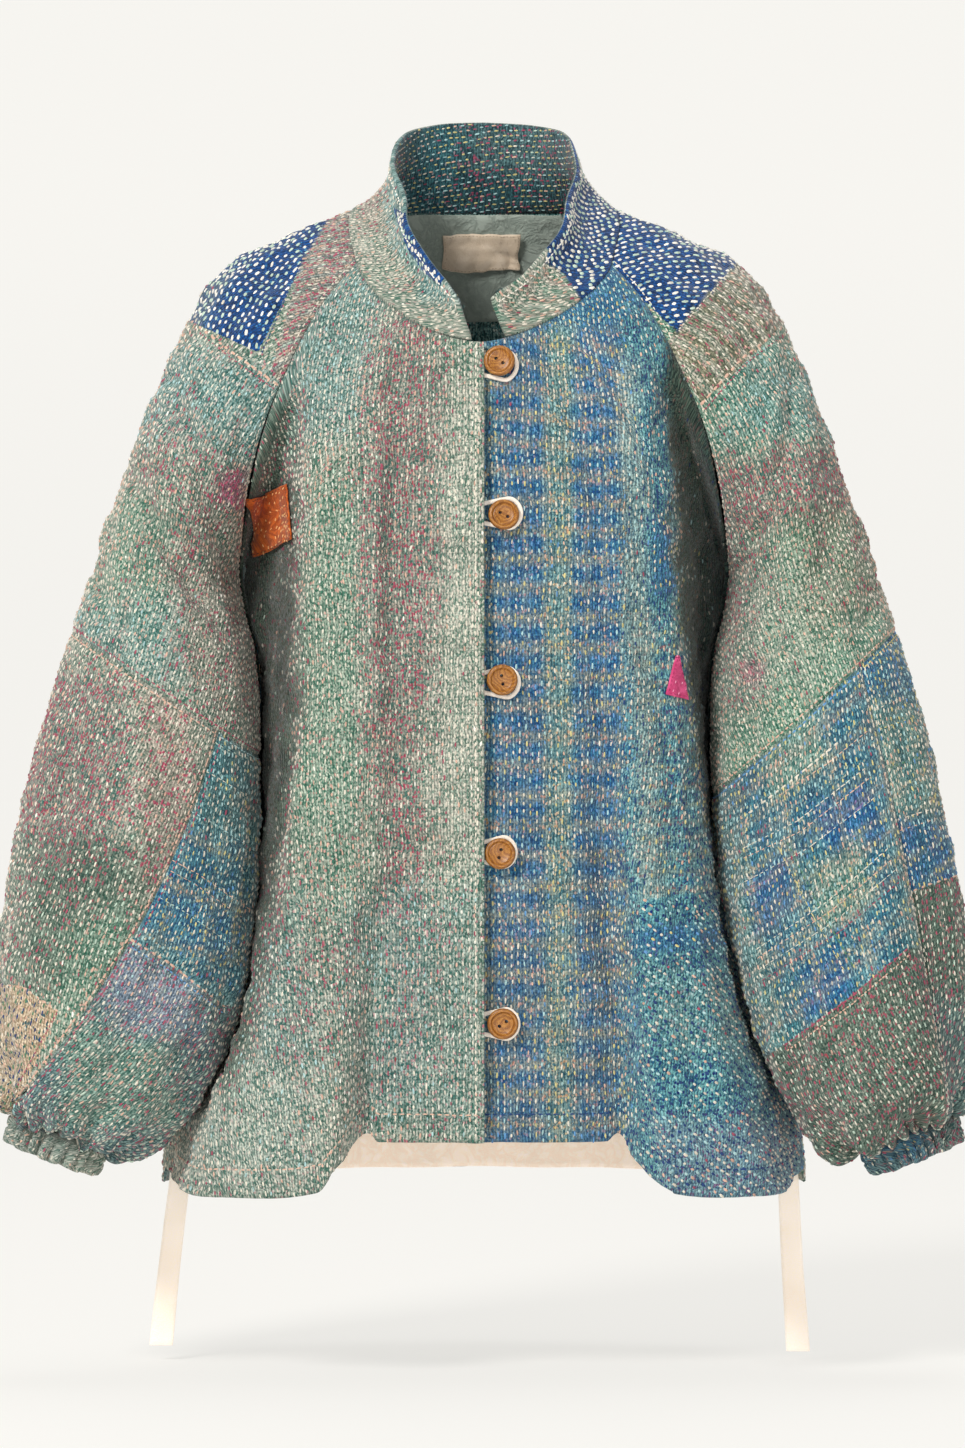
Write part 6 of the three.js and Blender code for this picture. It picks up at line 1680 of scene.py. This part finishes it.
# Finds the place on a front or the back that shows at (x, z), and its normal towards the viewer
def placeOn(surface, x, z, u, w, inwards=False):
    step = 1e-3
    x, z = np.atleast_1d(np.asarray(x, float)), np.atleast_1d(np.asarray(z, float))
    u, w = np.full(x.shape, float(u)), np.full(x.shape, float(w))
    for _ in range(30):
        p = surface(u, w)
        pu, pw = (surface(u + step, w) - p) / step, (surface(u, w + step) - p) / step
        det = pu[..., 0] * pw[..., 2] - pu[..., 2] * pw[..., 0]
        ex, ez = x - p[..., 0], z - p[..., 2]
        u = np.clip(u + 0.8 * (ex * pw[..., 2] - ez * pw[..., 0]) / det, 0.001, 0.998)
        w = np.clip(w + 0.8 * (pu[..., 0] * ez - pu[..., 2] * ex) / det, 0.001, 1.998)
    p = surface(u, w)
    n = unit(np.cross(surface(u + step, w) - p, surface(u, w + step) - p))
    return p, np.where((n[..., 1] > 0)[..., None] != inwards, -n, n)


# The same on a panel as it is folded
def placeOnPanel(panel, x, z, inwards=False):
    grid, normals = panel["grid"], panel["normals"]
    gi, gj, _ = findInGrid(grid[..., 0], grid[..., 2], x, z, (normals[..., 1] > 0) == inwards)
    return sampleGrid(grid, gi, gj), unit(sampleGrid(normals, gi, gj)) * (-1 if inwards else 1)


def leftFront(u, w):
    return bodyPoint(left, True, u, w)


def patchPiece(name, panelName, outline, lift, thickness, material, slot, node, inwards=False, steps=26,
               threads=None):
    a, b = np.meshgrid(np.linspace(0, 1, steps), np.linspace(0, 1, steps))
    c = np.array(outline, float)
    flat = ((c[0] * (1 - a[..., None]) + c[1] * a[..., None]) * (1 - b[..., None])
            + (c[3] * (1 - a[..., None]) + c[2] * a[..., None]) * b[..., None])
    p, n = placeOnPanel(panels[panelName], flat[..., 0].ravel(), flat[..., 1].ravel(), inwards)
    grid, normals = p.reshape(steps, steps, 3), n.reshape(steps, steps, 3)
    u, v = clothLengths(grid, 0, 0)
    grid = grid + normals * (lift + 0.18 * np.sin(0.5 * u + 0.3) + 0.15 * np.sin(0.7 * v))[..., None]
    corners, faces, source = shellOf(grid, normals, thickness + 0 * u)
    obj = makeMesh(name, corners, faces, material)
    setAttribute(obj, "clothMm", "FLOAT_VECTOR", np.stack([u.ravel(), v.ravel(), 0 * u.ravel()], -1)[source])
    dress(obj, slot, node)
    panel = dict(u=u, v=v, grid=grid, normals=normals)
    panel["x"], panel["y"] = seenAt(grid)
    if threads:
        sets, colours = [], []
        gi, gj = latticeOver(panel, 5.6, 6.2, threads.get("turn", 0), dict(jitter=0.4, missing=0.15))
        if len(gi):
            sets.append(stitchesOn(panel, gi, gj, threads.get("turn", 0), threads["long"], threads["wide"],
                                   0.5))
            colours.append(np.tile(hexToLinear(threads["colour"]), (len(gi), 1)))
        for edgeName in ("first", "last", "start", "end"):
            made = edgeStitches(panel, edgeName, 1.3, threads["long"] * 1.5,
                                (threads["long"], threads["wide"]))
            sets.append(made)
            colours.append(np.tile(hexToLinear(threads["rim"]), (len(made[0]), 1)))
        joined = [np.concatenate([s[k] for s in sets]) for k in range(6)]
        stitches = stitchMesh(name + "_stitches", *joined, np.concatenate(colours))
        dress(stitches, slot)
    return panel


patchPiece("patch_orange_cloth", "front_right", [(-159, -178), (-131, -168), (-127, -205), (-155, -216)], 2.3,
           1.2, orangeCotton, "orange_cotton", "patch_orange",
           threads=dict(long=2.4, wide=1.1, turn=0.25, colour="#F0B878", rim="#7A3A16"))
patchPiece("patch_pink_cloth", "front_left", [(126.6, -284), (128.2, -284), (134.6, -313), (120, -309)], 2.1,
           1.2, pinkCotton, "pink_cotton", "patch_pink",
           threads=dict(long=2.2, wide=0.9, turn=0.1, colour="#F9A8C4", rim="#A82B5C"))
patchPiece("label_blank", "back", [(-29, 12), (26, 12), (26, -12), (-29, -12)], 8.6, 0.7,
           satin, "label_satin", "label", inwards=True,
           threads=dict(long=1.6, wide=0.5, turn=0, colour="#D8C2A8", rim="#B59A7C"))
print("facing, casing, label and patches laid on")

# Turned olive wood buttons: oiled, not lacquered, with dark growth rings round the pith and a fine
# turned ripple
buttonShape = dict(radius=10.3, thick=4.6, holeApart=2.7, holeRadius=1.15, shankRadius=1.5, loopRadius=1.3,
                   sides=64)
buttonPlaces = [
    dict(x=10.4, z=-89, loopX=0.8, loopZ=-2.2, tiltX=5, tiltZ=-6),
    dict(x=12.4, z=-192, loopX=1.6, loopZ=2.2, tiltX=-4, tiltZ=4),
    dict(x=11.2, z=-300, loopX=1.2, loopZ=-1.8, tiltX=4, tiltZ=3),
    dict(x=10.6, z=-415, loopX=-0.4, loopZ=1.6, tiltX=-3, tiltZ=-4),
    dict(x=12.6, z=-526, loopX=-0.6, loopZ=-0.6, tiltX=3, tiltZ=-5),
]
shankLength = 2 * buttonShape["loopRadius"] + 1.7


def turnedWood():
    material = bpy.data.materials.new("turned olive wood")
    material.use_nodes = True
    tree = material.node_tree
    shader = tree.nodes["Principled BSDF"]
    place = addNode(tree, "ShaderNodeAttribute", attribute_name="grainMm").outputs["Vector"]
    wobble = addNode(tree, "ShaderNodeTexNoise", {"Vector": place, "Scale": 0.16, "Detail": 3.0})
    shift = addNode(tree, "ShaderNodeVectorMath", {0: wobble.outputs["Color"], "Scale": 7.0},
                    operation="SCALE")
    bent = addNode(tree, "ShaderNodeVectorMath", {0: place, 1: shift.outputs[0]}, operation="ADD")
    flat = addNode(tree, "ShaderNodeVectorMath", {0: bent.outputs[0], 1: (1, 1, 0.15)}, operation="MULTIPLY")
    away = addNode(tree, "ShaderNodeVectorMath", {0: flat.outputs[0]}, operation="LENGTH")
    turns = addNode(tree, "ShaderNodeMath", {0: away.outputs["Value"], 1: 2 * math.pi / 2.3},
                    operation="MULTIPLY")
    ring = addNode(tree, "ShaderNodeMath", {0: turns.outputs[0]}, operation="SINE")
    pores = addNode(tree, "ShaderNodeTexNoise", {"Vector": place, "Scale": 2.4, "Detail": 3.0})
    grain = addNode(tree, "ShaderNodeMath", {0: ring.outputs[0], 1: 0.1, 2: pores.outputs[0]},
                    operation="MULTIPLY_ADD")
    ramp = addNode(tree, "ShaderNodeValToRGB", {0: grain.outputs[0]})
    stops = ramp.color_ramp.elements
    stops[0].position, stops[0].color = 0.22, paintColour("#5E3410")
    stops[1].position, stops[1].color = 0.78, paintColour("#C88F42")
    middle = stops.new(0.5)
    middle.color = paintColour("#9A6020")
    tree.links.new(ramp.outputs[0], shader.inputs["Base Color"])
    bump = addNode(tree, "ShaderNodeBump", {"Height": grain.outputs[0], "Strength": 0.25, "Distance": 0.0003})
    tree.links.new(bump.outputs[0], shader.inputs["Normal"])
    shader.inputs["Roughness"].default_value = 0.42
    shader.inputs["Coat Weight"].default_value = 0.12
    shader.inputs["Coat Roughness"].default_value = 0.3
    return material


wood = turnedWood()
loopCotton = cottonTape("cotton rouleau", "#F2E8DC", "#D5C3B1")


def addCylinder(name, radius, depth, centre):
    turn = np.linspace(0, 2 * math.pi, 24, endpoint=False)
    ends = [np.stack([radius * np.cos(turn) + centre[0], 0 * turn + y, radius * np.sin(turn) + centre[1]],
                     -1) for y in (-depth, depth)]
    faces = [(i, 24 + i, 24 + (i + 1) % 24, (i + 1) % 24)
             for i in range(24)] + [tuple(range(24)), tuple(range(47, 23, -1))]
    return makeMesh(name, np.concatenate(ends), faces, wood)


def woodButton(number, spot):
    s = buttonShape
    r, t = s["radius"], s["thick"]
    # a rounded rim with a sunk well, and one fine bead turned in it
    profile = [(0, 0), (r - 2.4, 0), (r - 1.2, 0.35), (r - 0.3, 1.3), (r, 2.4), (r - 0.25, 3.5),
               (r - 0.8, 4.25), (r - 1.5, t),
               (r - 2.2, t - 0.1), (r - 2.7, t - 0.9), (r - 3.3, t - 1.6), (r - 3.8, t - 1.45),
               (r - 4.3, t - 1.75), (0, t - 1.9)]
    ringed = [(a, b) for a, b in profile if a > 0]
    turn = np.linspace(0, 2 * math.pi, s["sides"], endpoint=False)
    corners = [np.stack([a * np.cos(turn), 0 * turn + b, a * np.sin(turn)], -1) for a, b in ringed]
    n, sides = len(ringed), s["sides"]
    faces = [(i * sides + k, (i + 1) * sides + k, (i + 1) * sides + (k + 1) % sides,
              i * sides + (k + 1) % sides) for i in range(n - 1) for k in range(sides)]
    corners.append(np.array([[0, 0, 0], [0, profile[-1][1], 0]], float))
    bottom, top = n * sides, n * sides + 1
    faces += [(bottom, k, (k + 1) % sides) for k in range(sides)]
    faces += [(top, (n - 1) * sides + (k + 1) % sides, (n - 1) * sides + k) for k in range(sides)]
    obj = makeMesh(f"button_turned_{number}", np.concatenate(corners), faces, wood)
    for at in (-s["holeApart"], s["holeApart"]):
        hole = addCylinder("hole", s["holeRadius"], 9, (at, 0))
        cut = obj.modifiers.new("hole", "BOOLEAN")
        cut.operation, cut.object, cut.solver = "DIFFERENCE", hole, "EXACT"
        bpy.context.view_layer.objects.active = obj
        bpy.ops.object.modifier_apply(modifier=cut.name)
        bpy.data.objects.remove(hole)
    places = np.array([v.co for v in obj.data.vertices]) / mm
    offset = np.array([3.1 * math.sin(2.3 * number), 2.0 * number, 2.7 * math.cos(1.9 * number)])
    setAttribute(obj, "grainMm", "FLOAT_VECTOR", (places + offset)[:, [0, 2, 1]])
    obj.data.set_sharp_from_angle(angle=math.radians(38))

    p, normal = placeOn(leftFront, spot["x"], spot["z"], 0.05, 0.8)
    p, normal = Vector(p[0]), Vector(normal[0])
    tilt = Euler((math.radians(spot["tiltX"]), 0, math.radians(spot["tiltZ"])), "XYZ").to_quaternion()
    turned = tilt @ Vector((0, 1, 0)).rotation_difference(normal)
    out = turned @ Vector((0, 1, 0))
    seat = p + normal * 0.9 + out * shankLength
    obj.data.transform(turned.to_matrix().to_4x4())
    obj.data.transform(Matrix.Translation(seat * mm))
    dress(obj, "button_wood", f"button_{number}")

    # thread through the two holes and down the shank
    rows, sides = 26, 10
    t = np.linspace(0, 1, rows)
    ring = np.linspace(0, 2 * math.pi, sides, endpoint=False)
    wound = s["shankRadius"] * (1 + 0.08 * np.cos(t * 2 * math.pi * 9))
    shank = np.stack([wound[:, None] * np.cos(ring), -(shankLength + 0.2) * t[:, None] + 0.2 + 0 * ring,
                      wound[:, None] * np.sin(ring)], -1)
    tubes = [shank]
    for at in (-0.32, 0.32):
        span = np.linspace(-s["holeApart"], s["holeApart"], rows)
        lift = s["thick"] - 3.2 - 1.0 * (np.abs(span) / s["holeApart"]) ** 6
        tubes.append(np.stack([span[:, None] + 0 * ring, lift[:, None] + 0.34 * np.cos(ring),
                               at + 0.34 * np.sin(ring) + 0 * lift[:, None]], -1))
    corners = np.concatenate([tube.reshape(-1, 3) for tube in tubes])
    faces = []
    for k in range(len(tubes)):
        base = k * rows * sides
        faces += [(base + i * sides + j, base + i * sides + (j + 1) % sides,
                   base + (i + 1) * sides + (j + 1) % sides,
                   base + (i + 1) * sides + j) for i in range(rows - 1) for j in range(sides)]
        faces += [tuple(base + j for j in range(sides - 1, -1, -1)),
                  tuple(base + (rows - 1) * sides + j for j in range(sides))]
    matrix = np.array(turned.to_matrix())
    sewn = makeMesh(f"button_thread_{number}", corners @ matrix.T + np.array(seat), faces, thread)
    setAttribute(sewn, "threadColour", "FLOAT_COLOR", np.tile(paintColour("#6B4526"), (len(corners), 1)))
    dress(sewn, "button_wood")
    return p


def clothLoop(number, spot, p):
    s = buttonShape
    centre = (p[0] + spot["loopX"], spot["z"] + spot["loopZ"])
    reach = s["radius"] + 0.4
    turns = [(centre[0] + reach * math.cos(a), centre[1] + reach * math.sin(a))
             for a in np.linspace(math.pi / 2, -math.pi / 2, 11)]
    path = [(-7, centre[1] + 4), (0, centre[1] + 6.6), *turns[1:-1], (0, centre[1] - 6.6),
            (-7, centre[1] - 4)]
    path = np.array(path)
    lengths = np.pad(np.cumsum(np.linalg.norm(np.diff(path, axis=0), axis=1)), (1, 0))
    at = np.linspace(0, lengths[-1], 90)
    x, z = (np.interp(at, lengths, path[:, k]) for k in (0, 1))
    for _ in range(6):
        x[1:-1] = (x[:-2] + 2 * x[1:-1] + x[2:]) / 4
        z[1:-1] = (z[:-2] + 2 * z[1:-1] + z[2:]) / 4
    q, normal = placeOn(leftFront, x, z, 0.05, 0.8)
    line = q + normal * (s["loopRadius"] + 0.6)
    along = unit(np.gradient(line, axis=0))
    side = unit(np.cross(along, normal))
    ring = np.linspace(0, 2 * math.pi, 16, endpoint=False)
    # a narrow turned tube, pressed a little flat, with its seam on the inner side
    section = s["loopRadius"] * (1 - 0.1 * np.exp(-((ring - math.pi) / 0.35) ** 2))
    wave = 1 + 0.04 * np.sin(at * 1.7)[:, None]
    tube = (line[:, None] + side[:, None] * (section * np.cos(ring) * wave)[..., None] * 1.12
            + normal[:, None] * (section * np.sin(ring))[None, :, None])
    faces = [(i * 16 + j, i * 16 + (j + 1) % 16, (i + 1) * 16 + (j + 1) % 16, (i + 1) * 16 + j)
             for i in range(89) for j in range(16)]
    faces += [tuple(range(15, -1, -1)), tuple(89 * 16 + j for j in range(16))]
    obj = makeMesh(f"loop_rouleau_{number}", tube.reshape(-1, 3), faces, loopCotton)
    dress(obj, "cream_cotton", f"loop_{number}")


for number, spot in enumerate(buttonPlaces, 1):
    clothLoop(number, spot, woodButton(number, spot))
print("buttons and loops sewn on")

# A pale sweep behind the jacket and soft studio light
stageShape = dict(floor=-0.763, front=-12.0, back=9.0, bend=1.6, height=12.0, half=12.0)
paperGlow = dict(nearAt=0.2, farAt=5.0, near=0.735, far=0.838)


def addSweep():
    s = stageShape
    bend = [(s["back"] + s["bend"] * math.sin(a), s["floor"] + s["bend"] * (1 - math.cos(a)))
            for a in np.linspace(0, math.pi / 2, 24)]
    line = [(s["front"], s["floor"])] + bend + [(s["back"] + s["bend"], s["height"])]
    corners = [(x / mm, y / mm, z / mm) for x in (-s["half"], s["half"]) for y, z in line]
    n = len(line)
    sweep = makeMesh("sweep", corners, [(i, n + i, n + i + 1, i + 1) for i in range(n - 1)], paper())


def paper():
    material = bpy.data.materials.new("background paper")
    material.use_nodes = True
    tree = material.node_tree
    shader = tree.nodes["Principled BSDF"]
    # lit from behind a little, more so far off where the lamps don't reach, so that shadows stay faint on it
    place = addNode(tree, "ShaderNodeNewGeometry")
    parts = addNode(tree, "ShaderNodeSeparateXYZ", {0: place.outputs["Position"]})
    glow = addNode(tree, "ShaderNodeMapRange", {0: parts.outputs["Y"], 1: paperGlow["nearAt"],
                                                2: paperGlow["farAt"], 3: paperGlow["near"],
                                                4: paperGlow["far"]})
    tree.links.new(glow.outputs[0], shader.inputs["Emission Strength"])
    shader.inputs["Base Color"].default_value = paintColour("#8C8A87")
    shader.inputs["Emission Color"].default_value = paintColour("#F4F3EF")
    shader.inputs["Roughness"].default_value = 0.95
    shader.inputs["Specular IOR Level"].default_value = 0.1
    return material


def addLight(name, place, aim, size, power, colour="#FFFFFF"):
    light = bpy.data.lights.new(name, "AREA")
    light.shape, light.size, light.energy = "DISK", size, power
    light.color = hexToLinear(colour)
    obj = bpy.data.objects.new(name, light)
    bpy.context.collection.objects.link(obj)
    obj.location = place
    obj.rotation_euler = (Vector(aim) - Vector(place)).to_track_quat("-Z", "Y").to_euler()


addSweep()
addLight("key", (-2.2, -3.7, 2.5), (0, 0, -0.35), 1.3, 206, "#FFFEFC")
addLight("fill", (3.0, -3.4, 0.2), (0, 0, -0.35), 2.4, 20, "#F6F9FF")
addLight("low", (0.4, -3.6, -0.45), (0, 0, -0.5), 1.4, 22)
addLight("top", (0.2, 0.6, 2.6), (0, 0, -0.3), 2.0, 26)
world = bpy.data.worlds.new("studio")
bpy.context.scene.world = world
world.use_nodes = True
sky = world.node_tree.nodes["Background"]
sky.inputs["Color"].default_value = paintColour("#FBFAF8")
sky.inputs["Strength"].default_value = 0.3
bpy.context.scene.view_settings.view_transform = "Standard"
print("stage and light set")
